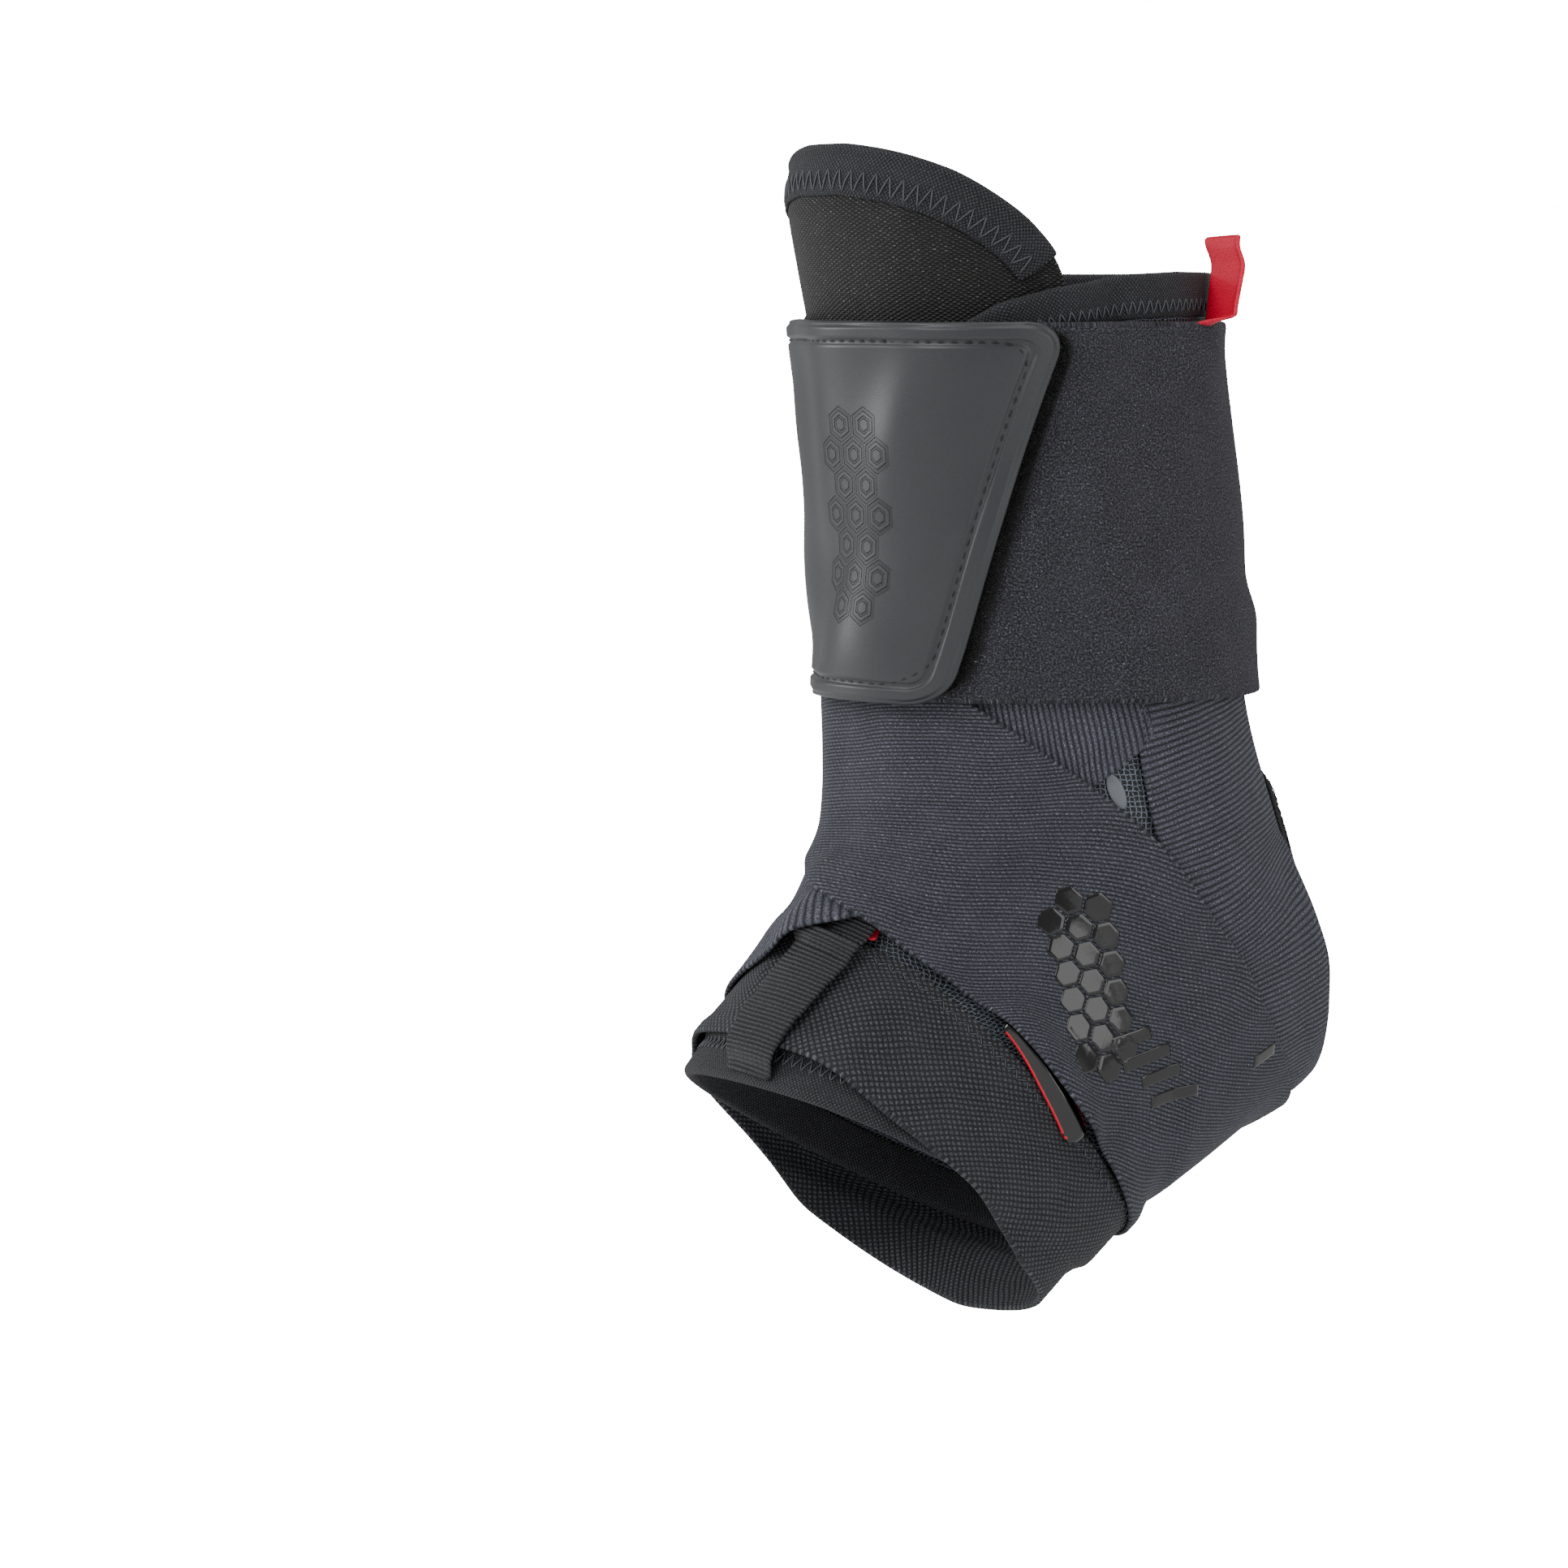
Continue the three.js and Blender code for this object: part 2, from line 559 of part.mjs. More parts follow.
// Small pieces at the front: a red ribbon and a webbing keeper under the straps' crossing, and the
// webbing tab that pulls the boot on, sewn to the front hem
const onBand = ['tongue', 'boot_body', 'front_hem_binding', 'midfoot_band'];
strip('red_ribbon', straightRun([-6, 6.64], [14, 6.56], ribbonLength), ribbonWidth, red,
  { thickness: ribbonThickness, below: onBand });
strip('webbing_keeper', straightRun([14, 6.3], [12, 6.95], keeperHeight), webbingWidth, webbing,
  { thickness: webbingThickness, below: [...onBand, 'red_ribbon'] });
const WEBBING = [[13, 6.95], [12, 7.3], [9.8, 8.1], [8.2, 8.8], [7, 9.42]];
const webbingRise = ([, v]) => webbingBow * Math.sin(Math.PI * THREE.MathUtils.clamp((v - 6.9) / 2.3, 0, 1));
strip('pull_tab_webbing', WEBBING, webbingWidth, webbing,
  { thickness: webbingThickness, below: [...onBand, 'red_ribbon', 'webbing_keeper'], extra: webbingRise });

// Folded label on the outer side, sewn in under the outer strap's lower edge
strip('side_label', straightRun([61, 7.76], [84, 8.5], labelLength), labelWidth, glossy,
  { thickness: tabThickness, below: onBand });

// Straps. Each starts on the boot beside the ankle, crosses the instep, runs down the boot's other
// side and under the heel, and comes up its own side to end under the cuff. Middle lines on the
// shape, as angle and station; the two cross over the instep and again under the heel.
const INNER_STRAP = [
  [98, 3.18], [80, 3.43], [63, 3.70], [46, 3.93], [29, 4.16], [13, 4.42], [-1, 4.83], [-13, 5.36],
  [-24, 5.94], [-35, 6.52], [-48, 7.06], [-63, 7.42], [-79, 7.70], [-96, 7.95], [-114, 8.18],
  [-135, 8.34], [-157, 8.38], [-180, 8.30], [-202, 8.08], [-221, 7.74], [-236, 7.28], [-247, 6.65],
  [-253, 6.00], [-254.5, 5.25], [-252.5, 4.5], [-249.5, 3.5],
];
const OUTER_STRAP = [
  [-60, 3.66], [-34, 4.10], [-9, 4.42], [12, 4.70], [28, 5.04], [43, 5.50], [60, 6.12], [79, 6.93],
  [95, 7.50], [113, 7.99], [134, 8.29], [157, 8.38], [180, 8.32], [202, 8.10], [221, 7.73],
  [236, 7.25], [246, 6.65], [251, 6.00], [252, 5.25], [250.5, 4.5], [248.5, 3.5],
];
const widthAt = (t) => THREE.MathUtils.lerp(1, strapTaper, THREE.MathUtils.smoothstep(t, 0.55, 0.85));
const onBoot = [...onBand, 'tongue_binding', 'top_hem_binding', 'heel_binding', 'red_ribbon',
  'webbing_keeper', 'pull_tab_webbing', 'side_label'];
const innerTrace = tracePath(INNER_STRAP);
const outerTrace = tracePath(OUTER_STRAP);
const innerCut = { from: startRun, slantFrom: startSlant, widthAt };
sheet('strap_inner', stripGrid(innerTrace, strapWidth, innerCut), twill,
  { thickness: strapThickness, below: onBoot });
sheet('strap_outer', stripGrid(outerTrace, strapWidth, { widthAt }), twill,
  { thickness: strapThickness, below: [...onBoot, 'strap_inner'] });

// Rubber tabs on the upper ends of both straps, with slanted lower edges
const onStraps = [...onBoot, 'strap_inner', 'strap_outer'];
for (const [name, trace, lean] of [['end_tab_lateral', innerTrace, 1], ['end_tab_medial', outerTrace, -1]]) {
  const end = trace[trace.length - 1].run;
  const cut = { from: end - endTabLength, to: end - endTabInset, slantFrom: endTabSlant * lean };
  const tabWidth = strapWidth * strapTaper - endTabInset;
  sheet(name, stripGrid(trace, tabWidth, { ...cut, step: 6, across: 7 }), glossy,
    { thickness: tabThickness, below: onStraps });
}

// Red tab at the top of the back, held between the boot and the cuff
const backTabLow = stationAt(cuffTop - backTabTuck);
strip('back_tab', straightRun([115, backTabLow], [131, backTabLow - 0.9], backTabHeight), backTabWidth, red,
  { thickness: tabThickness, below: [...onStraps, 'end_tab_lateral'] });

// Cuff: a wide wrap of soft cloth from the front of the outer side round the back to the inner side
const underCuff = [...onStraps, 'end_tab_lateral', 'end_tab_medial', 'back_tab'];
const cuffGrid = beltGrid(spread(-2, 312, 32), 8, () => stationCuffTop, () => stationCuffBottom);
sheet('cuff', cuffGrid, loopCloth, { thickness: cuffThickness, below: underCuff });

// Closure panel: a rubber panel from the inner side across the front. Its outer edge slants, and the
// hook tape under it shows past that edge. Shares run from the panel's top to its bottom.
const panelStart = -60;
const panelTopAngle = 66;
const panelBottomAngle = 31;
const stationPanelTop = stationAt(cuffTop + panelOver);
const stationPanelBottom = stationAt(cuffBottom - panelOver);
const panelShares = [0, 0.02, 0.06, 0.13, 0.24, 0.36, 0.48, 0.6, 0.72, 0.84, 0.92, 0.965, 1];
const cuffRound = 0.56 * ankleWidth;
const asAngle = (length) => THREE.MathUtils.radToDeg(length / cuffRound);
/** How far the slanted edge steps back to round the corner at the nearer end. */
function cornerBack(share) {
  const inside = Math.max(0, panelCorner - Math.min(share, 1 - share) * cuffHeight);
  return panelCorner - Math.sqrt(panelCorner ** 2 - inside ** 2);
}
const slantAt = (share) => THREE.MathUtils.lerp(panelTopAngle, panelBottomAngle, share);
const panelEdge = (share) => slantAt(share) - asAngle(cornerBack(share));
const panelStation = (share) => THREE.MathUtils.lerp(stationPanelTop, stationPanelBottom, share);
const hookInset = 0.02;
const hookGrid = panelShares.map((share) => {
  const edge = panelEdge(share) + asAngle(hookShow);
  const station = panelStation(THREE.MathUtils.lerp(hookInset, 1 - hookInset, share));
  return spread(edge - asAngle(hookDepth), edge, 5).map((u) => [u, station]);
});
sheet('hook_tape', hookGrid, fuzz, { thickness: hookThickness, below: [...underCuff, 'cuff'] });
const panelGrid = panelShares.map((share) => spread(panelStart, panelEdge(share), 13)
  .map((u) => [u, panelStation(share)]));
sheet('closure_panel', panelGrid, rubber,
  { thickness: panelThickness, below: [...underCuff, 'cuff', 'hook_tape'] });

export default group;
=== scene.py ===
"""Looks of the ankle brace: fine cloth surfaces, bindings, stitches, webbing and the rubber panel.

Every cloth lies on one inner shape, given as sections that fan out round the bend of the ankle. A
place on the shape is (u, v): u is the angle round a section in degrees, 0 at the front and 90 on the
outer side, and v is the section's number, with fractions. All lengths in the classes are in
millimetres; meshes are written in metres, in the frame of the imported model.
"""

import logging
from collections.abc import Callable
from dataclasses import dataclass, field
from enum import Enum

import bpy
import numpy as np
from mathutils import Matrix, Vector


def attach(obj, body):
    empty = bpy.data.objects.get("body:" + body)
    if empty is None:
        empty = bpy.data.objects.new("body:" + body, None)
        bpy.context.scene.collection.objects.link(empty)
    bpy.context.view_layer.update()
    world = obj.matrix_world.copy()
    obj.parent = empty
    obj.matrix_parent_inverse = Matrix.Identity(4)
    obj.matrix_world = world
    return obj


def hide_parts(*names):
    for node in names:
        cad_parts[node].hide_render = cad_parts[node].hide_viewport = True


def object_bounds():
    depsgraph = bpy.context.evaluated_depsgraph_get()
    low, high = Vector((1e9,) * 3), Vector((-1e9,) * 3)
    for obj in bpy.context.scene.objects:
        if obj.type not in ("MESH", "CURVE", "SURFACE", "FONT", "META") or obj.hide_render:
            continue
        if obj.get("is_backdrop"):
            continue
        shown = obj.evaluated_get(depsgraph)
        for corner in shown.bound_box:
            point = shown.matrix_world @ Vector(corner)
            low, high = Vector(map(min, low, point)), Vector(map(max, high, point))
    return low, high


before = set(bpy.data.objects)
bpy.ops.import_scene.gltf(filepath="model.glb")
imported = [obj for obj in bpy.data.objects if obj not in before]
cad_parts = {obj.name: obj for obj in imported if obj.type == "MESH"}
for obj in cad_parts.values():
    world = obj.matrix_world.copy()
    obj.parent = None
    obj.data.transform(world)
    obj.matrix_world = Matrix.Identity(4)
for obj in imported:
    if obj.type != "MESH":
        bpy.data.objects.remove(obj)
frame_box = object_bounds()
log = logging.getLogger("brace")
logging.basicConfig(level=logging.INFO, format="%(message)s")

Array = np.ndarray
Socket = bpy.types.NodeSocket
Object = bpy.types.Object
MM = 0.001
SEED = 7
HEX_TALL = 3**0.5  # a hexagon grid's repeat is this much taller than wide


@dataclass(frozen=True)
class Sizes:
    """Driving sizes of the brace in mm, the same as the CAD's."""

    cuff_bottom: float = 27
    cuff_height: float = 71
    tongue_above: float = 33
    shape_above: float = 21
    sole_drop: float = 111
    front_reach: float = 93
    heel_back: float = 70
    ankle_width: float = 75
    lining: float = 0.4
    gap: float = 0.3
    strap_width: float = 47
    strap_taper: float = 0.8
    hem_above: float = 9

    @property
    def cuff_top(self) -> float:
        """Height of the cuff's upper edge."""
        return self.cuff_bottom + self.cuff_height

    @property
    def rise(self) -> float:
        """Height of the shape's top section."""
        return self.cuff_top + self.tongue_above + self.shape_above


SIZES = Sizes()

# Front forward, front up, back forward, back up, half width, squareness: forward as shares of
# front_reach or heel_back, up as shares of rise or sole_drop, half width of ankle_width.
FORM = (
    (0.600, 1.000, -0.414, 1.000, 0.500, 0.00),
    (0.560, 0.842, -0.421, 0.842, 0.480, 0.00),
    (0.495, 0.645, -0.443, 0.638, 0.433, 0.00),
    (0.489, 0.408, -0.521, 0.395, 0.453, 0.00),
    (0.452, 0.178, -0.571, 0.158, 0.467, -0.02),
    (0.465, 0.015, -0.786, -0.072, 0.487, -0.03),
    (0.535, -0.088, -1.000, -0.297, 0.473, -0.02),
    (0.590, -0.175, -0.871, -0.468, 0.453, 0.00),
    (0.655, -0.252, -0.543, -0.562, 0.450, 0.01),
    (0.748, -0.350, -0.129, -0.680, 0.462, 0.03),
    (0.860, -0.472, 0.204, -0.832, 0.493, 0.05),
    (1.000, -0.613, 0.505, -1.000, 0.533, 0.05),
)


def smooth_rows(rows: Array | tuple, at: Array) -> Array:
    """Smooth curve through the rows of a table, read at fractional row numbers.

    Between two rows it is the cubic whose slopes there are half the difference of the neighbours.

    Args:
        rows: Table of values, one row each.
        at: Row numbers, with fractions.
    Returns:
        One row for each number.
    """
    rows = np.asarray(rows, float)
    padded = np.vstack([2 * rows[:1] - rows[1:2], rows, 2 * rows[-1:] - rows[-2:-1]])
    held = np.clip(np.asarray(at, float), 0, len(rows) - 1 - 1e-9)
    i = np.floor(held).astype(int)
    t = (held - i)[..., None]
    a, b, c, d = (padded[i + k] for k in range(4))
    square = (2 * a - 5 * b + 4 * c - d) * t**2
    cube = (3 * b - a - 3 * c + d) * t**3
    return 0.5 * (2 * b + (c - a) * t + square + cube)


def unit(vectors: Array) -> Array:
    """Vectors of length 1."""
    return vectors / np.maximum(np.linalg.norm(vectors, axis=-1, keepdims=True), 1e-12)


class Shape:
    """The inner shape, as a smooth surface over places (u, v)."""

    STEP_U = 0.05
    STEP_V = 1e-3
    WALK_STEPS = 10
    LAST_LEVEL = 7

    def __init__(self, sizes: Sizes) -> None:
        """Scales the table of sections to mm.

        Args:
            sizes: The driving sizes.
        """
        table = np.array(FORM)
        ahead = lambda x: x * np.where(x > 0, sizes.front_reach, sizes.heel_back)
        up = lambda z: z * np.where(z > 0, sizes.rise, sizes.sole_drop)
        self.rows = np.column_stack(
            [ahead(table[:, 0]), up(table[:, 1]), ahead(table[:, 2]), up(table[:, 3]),
             table[:, 4] * sizes.ankle_width, table[:, 5]]
        )

    def point(self, places: Array) -> Array:
        """Points of the shape: an ellipse with a share of the third harmonic in each section.

        Args:
            places: Array of (u, v).
        Returns:
            Array of points in mm.
        """
        row = smooth_rows(self.rows, places[..., 1])
        fy, fz, by, bz, half, square = np.moveaxis(row, -1, 0)
        angle = np.radians(places[..., 0])
        ahead = (np.cos(angle) - square * np.cos(3 * angle)) / (1 - square)
        aside = (np.sin(angle) + square * np.sin(3 * angle)) / (1 - square)
        y = -(fy + by + (fy - by) * ahead) / 2
        z = (fz + bz + (fz - bz) * ahead) / 2
        return np.stack([half * aside, y, z], axis=-1)

    def frame(self, places: Array) -> tuple[Array, Array, Array]:
        """Derivatives per degree and per station, and the outward normal.

        Args:
            places: Array of (u, v).
        Returns:
            Three arrays of vectors.
        """
        du, dv = np.array([self.STEP_U, 0.0]), np.array([0.0, self.STEP_V])
        along_u = (self.point(places + du) - self.point(places - du)) / (2 * self.STEP_U)
        along_v = (self.point(places + dv) - self.point(places - dv)) / (2 * self.STEP_V)
        return along_u, along_v, unit(np.cross(along_v, along_u))

    def lifted(self, places: Array, height: Array | float) -> Array:
        """Points at a height above the shape."""
        return self.point(places) + self.frame(places)[2] * np.asarray(height)[..., None]

    def walk(self, places: Array, direction: Array, distance: Array | float) -> Array:
        """Places reached by walking over the shape, turning with it at each step.

        Args:
            places: Array of (u, v).
            direction: Array of vectors.
            distance: Length in mm for each place.
        Returns:
            Array of (u, v).
        """
        places = np.array(places, float)
        heading = np.broadcast_to(direction, places.shape[:-1] + (3,)).copy()
        move = np.broadcast_to(np.asarray(distance, float), places.shape[:-1]) / self.WALK_STEPS
        for _ in range(self.WALK_STEPS):
            a, b, normal = self.frame(places)
            heading = unit(heading - normal * (heading * normal).sum(-1, keepdims=True))
            uu, uv, vv = (a * a).sum(-1), (a * b).sum(-1), (b * b).sum(-1)
            hu, hv = (heading * a).sum(-1) * move, (heading * b).sum(-1) * move
            det = uu * vv - uv * uv
            places += np.stack([(vv * hu - uv * hv) / det, (uu * hv - uv * hu) / det], axis=-1)
        return places

    def station_at(self, z: float) -> float:
        """Station whose middle lies at a height.

        Args:
            z: Height in mm.
        Returns:
            The station.
        """
        stations = np.linspace(0, self.LAST_LEVEL, 3000)
        rows = smooth_rows(self.rows, stations)
        middle = (rows[:, 1] + rows[:, 3]) / 2
        return float(np.interp(-z, -middle, stations))


def from_front(u: Array) -> Array:
    """Angle from the front, 0 to 180, the same on both sides."""
    turned = np.mod(u, 360)
    return np.where(turned > 180, 360 - turned, turned)


def ease(x: Array, start: float, end: float) -> Array:
    """Smooth step, three squares of the share less two cubes."""
    t = np.clip((x - start) / (end - start), 0, 1)
    return t * t * (3 - 2 * t)


def weights(fine: int, rough: Array) -> Array:
    """Matrix that reads values kept at a few index numbers back at every index."""
    return np.array([np.interp(np.arange(fine), rough, one) for one in np.eye(len(rough))]).T


def kept(count: int, every: int) -> Array:
    """Index numbers of a row that are kept: every so many, and the last one."""
    return np.unique(np.r_[np.arange(0, count, every), count - 1])


@dataclass
class Layers:
    """Heights of the cloths laid so far, so that the next one lies on them."""

    shape: Shape
    sizes: Sizes
    laid: dict[str, tuple[Array, Array, Array]] = field(default_factory=dict)

    # A layer is felt in full to HOLD mm beside it, and not at all FALL mm further on
    HOLD = 2.6
    FALL = 5.0
    EVERY = 3

    def lay(self, name: str, places: Array, bottom: Array, top: Array,
            keep: Array | None = None) -> None:
        """Keeps a cloth's heights.

        Args:
            name: The cloth's name.
            places: Its grid of places.
            bottom: Height of its underside.
            top: Height of its top.
            keep: Optional grid of truth values, for places that have cloth.
        """
        i, j = kept(places.shape[0], self.EVERY), kept(places.shape[1], self.EVERY)
        pick = np.ix_(i, j)
        chosen = np.ones(len(i) * len(j), bool) if keep is None else keep[pick].ravel()
        self.laid[name] = (self.shape.point(places[pick]).reshape(-1, 3)[chosen],
                           top[pick].ravel()[chosen], bottom[pick].ravel()[chosen])

    def over(self, places: Array, below: list[str]) -> Array:
        """Height of an underside: over the highest layer near each place, falling off beside it.

        Args:
            places: Grid of places.
            below: Names of the layers that may lie below.
        Returns:
            Grid of heights in mm.
        """
        rows, columns = places.shape[:2]
        i, j = kept(rows, self.EVERY), kept(columns, self.EVERY)
        points = self.shape.point(places[np.ix_(i, j)]).reshape(-1, 3)
        height = np.full(len(points), self.sizes.lining)
        for name in below:
            if name not in self.laid:
                continue
            others, tops, _ = self.laid[name]
            square = (points**2).sum(1)[:, None] + (others**2).sum(1)[None] - 2 * points @ others.T
            away = np.sqrt(np.maximum(square, 0))
            weight = 1 - ease(away, self.HOLD, self.HOLD + self.FALL)
            raised = (tops[None] + self.sizes.gap - self.sizes.lining) * weight
            height = np.maximum(height, self.sizes.lining + raised.max(1))
        return weights(rows, i) @ height.reshape(len(i), len(j)) @ weights(columns, j).T

    def near(self, places: Array, name: str) -> tuple[Array, Array]:
        """Heights of one layer at some places, read at its nearest kept place.

        Args:
            places: Array of (u, v).
            name: The layer's name.
        Returns:
            Heights of its underside and of its top.
        """
        others, tops, bottoms = self.laid[name]
        points = self.shape.point(places).reshape(-1, 3)
        away = ((points[:, None] - others[None]) ** 2).sum(-1)
        index = away.argmin(1)
        shape = places.shape[:-1]
        return bottoms[index].reshape(shape), tops[index].reshape(shape)


def write_mesh(name: str, vertices: Array, quads: Array, uv: Array | None = None) -> Object:
    """Makes a mesh object of quads, smooth shaded.

    Args:
        name: Name of the object.
        vertices: Array of points in mm.
        quads: Array of four vertex numbers each.
        uv: Optional array of the flat cloth's places in mm, four for each quad.
    Returns:
        The object.
    """
    used, renumbered = np.unique(quads, return_inverse=True)
    vertices, quads = np.asarray(vertices)[used] * MM, renumbered.reshape(-1, 4)
    mesh = bpy.data.meshes.new(name)
    mesh.vertices.add(len(vertices))
    mesh.vertices.foreach_set("co", vertices.astype(np.float32).ravel())
    mesh.loops.add(quads.size)
    mesh.loops.foreach_set("vertex_index", quads.astype(np.int32).ravel())
    mesh.polygons.add(len(quads))
    mesh.polygons.foreach_set("loop_start", np.arange(0, quads.size, 4, dtype=np.int32))
    mesh.polygons.foreach_set("use_smooth", np.ones(len(quads), bool))
    if uv is not None:
        layer = mesh.uv_layers.new(name="cloth")
        layer.data.foreach_set("uv", (np.asarray(uv) * MM).astype(np.float32).ravel())
    mesh.update(calc_edges=True)
    mesh.validate()
    piece = bpy.data.objects.new(name, mesh)
    bpy.context.scene.collection.objects.link(piece)
    log.info("piece %s: %d quads", name, len(quads))
    return piece


def ring_quads(number: Array) -> Array:
    """Quads between neighbouring closed rings of vertices.

    Args:
        number: Vertex numbers by group, ring and place round the ring.
    Returns:
        Array of four vertex numbers each.
    """
    here, there = number[:, :-1], number[:, 1:]
    turn = lambda grid: np.roll(grid, -1, axis=2)
    return np.stack([here, turn(here), turn(there), there], -1).reshape(-1, 4)


def shell(name: str, top: Array, bottom: Array, uv: Array, keep: Array | None = None,
          wrap: bool = False, rings: int = 3) -> Object:
    """Makes a closed cloth body between two grids, with round edges.

    The cloth's rim bulges out by half its thickness, as a half circle in a few steps.

    Args:
        name: Name of the object.
        top: Grid of points of the outer surface.
        bottom: Grid of points of the inner surface.
        uv: Grid of flat places in mm; one more column than top where the grid wraps.
        keep: Grid of cells that have cloth, or None for all.
        wrap: Whether the last column joins the first.
        rings: Steps round the rim.
    Returns:
        The object.
    """
    rows, columns = top.shape[:2]
    total = rows * columns
    number = np.arange(total).reshape(rows, columns)
    if wrap:
        number = np.hstack([number, number[:, :1]])
    cells = np.ones((rows - 1, number.shape[1] - 1), bool) if keep is None else keep
    corner = lambda grid: np.stack(
        [grid[:-1, :-1][cells], grid[1:, :-1][cells], grid[1:, 1:][cells], grid[:-1, 1:][cells]], 1)
    quads, places = corner(number), corner(uv)
    flat_top, flat_bottom = top.reshape(-1, 3), bottom.reshape(-1, 3)
    a, b, c, d = flat_top[quads[:, 0]], flat_top[quads[:, 1]], flat_top[quads[:, 2]], flat_top[quads[:, 3]]
    lift = (flat_top - flat_bottom)[quads[:, 0]]
    if (np.cross(c - a, d - b) * lift).sum() < 0:
        quads, places = quads[:, ::-1], places[:, ::-1]
    start, end = quads.ravel(), np.roll(quads, -1, axis=1).ravel()
    spot, spot_end = places.reshape(-1, 2), np.roll(places, -1, axis=1).reshape(-1, 2)
    free = ~np.isin(start * total + end, end * total + start)
    p, q, up, uq = start[free], end[free], spot[free], spot_end[free]
    thick = flat_top - flat_bottom
    normal = unit(thick)
    outward = np.zeros_like(flat_top)
    side = unit(np.cross(flat_top[q] - flat_top[p], normal[p]))
    np.add.at(outward, p, side)
    np.add.at(outward, q, side)
    outward = unit(outward)
    rim = np.unique(np.concatenate([p, q]))
    place_of = np.zeros(total, int)
    place_of[rim] = np.arange(len(rim))
    angles = np.pi * np.arange(1, rings + 1) / (rings + 1)
    middle, half = (flat_top + flat_bottom)[rim] / 2, thick[rim] / 2
    reach = np.linalg.norm(half, axis=1, keepdims=True)
    ring = [middle + half * np.cos(x) + outward[rim] * reach * np.sin(x) for x in angles]
    vertices = np.vstack([flat_top, flat_bottom, *ring])
    level = lambda k, w: (w if k == 0 else w + total if k > rings
                          else 2 * total + (k - 1) * len(rim) + place_of[w])
    walls = [np.stack([level(k, q), level(k, p), level(k + 1, p), level(k + 1, q)], 1)
             for k in range(rings + 1)]
    wall_uv = np.stack([uq, up, up, uq], 1)
    faces = np.vstack([quads, (quads + total)[:, ::-1], *walls])
    face_uv = np.concatenate([places, places[:, ::-1], *([wall_uv] * (rings + 1))])
    return write_mesh(name, vertices, faces, face_uv)


def tubes(name: str, paths: Array, normals: Array, radius: float, sides: int = 6) -> Object:
    """Makes many threads at once: round tubes along paths, with thin ends.

    Args:
        name: Name of the object.
        paths: Array of threads, points and coordinates in mm.
        normals: Surface normals along the paths.
        radius: Thread radius in mm.
        sides: Sides of a tube.
    Returns:
        The object.
    """
    count, length = paths.shape[:2]
    tangent = unit(np.gradient(paths, axis=1))
    across = unit(np.cross(tangent, normals))
    lift = np.cross(across, tangent)
    reach = np.full(length, radius)
    reach[0] = reach[-1] = radius * 0.05
    angle = np.arange(sides) * 2 * np.pi / sides
    ring = (across[:, :, None] * np.cos(angle)[:, None] + lift[:, :, None] * np.sin(angle)[:, None])
    vertices = (paths[:, :, None] + ring * reach[None, :, None, None]).reshape(-1, 3)
    number = np.arange(count * length * sides).reshape(count, length, sides)
    quads = ring_quads(number)
    along = np.linspace(0, length, length * sides).reshape(length, sides)
    spots = np.stack([np.tile(along.ravel(), count), np.zeros(count * length * sides)], -1)
    return write_mesh(name, vertices, quads, spots[quads])


@dataclass
class Patch:
    """A cloth surface read at flat places in mm: rows run along it and columns across."""

    points: Array
    rows: Array
    columns: Array

    def at(self, row: Array, column: Array) -> tuple[Array, Array]:
        """Points and normals on the surface.

        Args:
            row: Places along it in mm.
            column: Places across it in mm.
        Returns:
            Two arrays, points and outward normals.
        """
        r = np.interp(row, self.rows, np.arange(len(self.rows)))
        c = np.interp(column, self.columns, np.arange(len(self.columns)))
        i = np.clip(np.floor(r).astype(int), 0, len(self.rows) - 2)
        j = np.clip(np.floor(c).astype(int), 0, len(self.columns) - 2)
        s, t = (r - i)[..., None], (c - j)[..., None]
        p = self.points
        a, b, d, e = p[i, j], p[i + 1, j], p[i, j + 1], p[i + 1, j + 1]
        point = a * (1 - s) * (1 - t) + b * s * (1 - t) + d * (1 - s) * t + e * s * t
        down, right = (b - a) * (1 - t) + (e - d) * t, (d - a) * (1 - s) + (e - b) * s
        normal = unit(np.cross(down, right))
        outward = point - np.array([0.0, point[..., 1].mean(), 0.0])
        sign = np.sign((normal * outward * np.array([1, 0.3, 0])).sum())
        return point, normal * (sign if sign else 1)


def lengths_along(points: Array) -> Array:
    """Length run along a row of points."""
    step = np.linalg.norm(np.diff(points, axis=0), axis=-1)
    return np.concatenate([[0], np.cumsum(step)])


def flat_places(points: Array, column: int) -> Array:
    """Flat places of a cloth grid, by the lengths of its rows from one column and down that column.

    Args:
        points: Grid of points in mm.
        column: The column that is kept straight.
    Returns:
        Grid of (across, along) in mm.
    """
    steps = np.linalg.norm(np.diff(points, axis=1), axis=-1)
    across = np.concatenate([np.zeros((len(points), 1)), np.cumsum(steps, axis=1)], axis=1)
    across -= across[:, column : column + 1]
    along = lengths_along(points[:, column])
    return np.stack([across, np.broadcast_to(along[:, None], across.shape)], -1)


def linear(code: str) -> tuple:
    """Linear RGBA of an sRGB hex colour.

    Args:
        code: Colour as six hex digits after a number sign.
    Returns:
        Four floats.
    """
    value = np.array([int(code[k : k + 2], 16) for k in (1, 3, 5)]) / 255
    low_part = value <= 0.04045
    return (*np.where(low_part, value / 12.92, ((value + 0.055) / 1.055) ** 2.4), 1.0)


class Weave(Enum):
    """Kinds of surface pattern."""

    TWILL = "twill"
    RIB = "rib"
    KNIT = "knit"
    LOOP = "loop"
    MESH = "mesh"


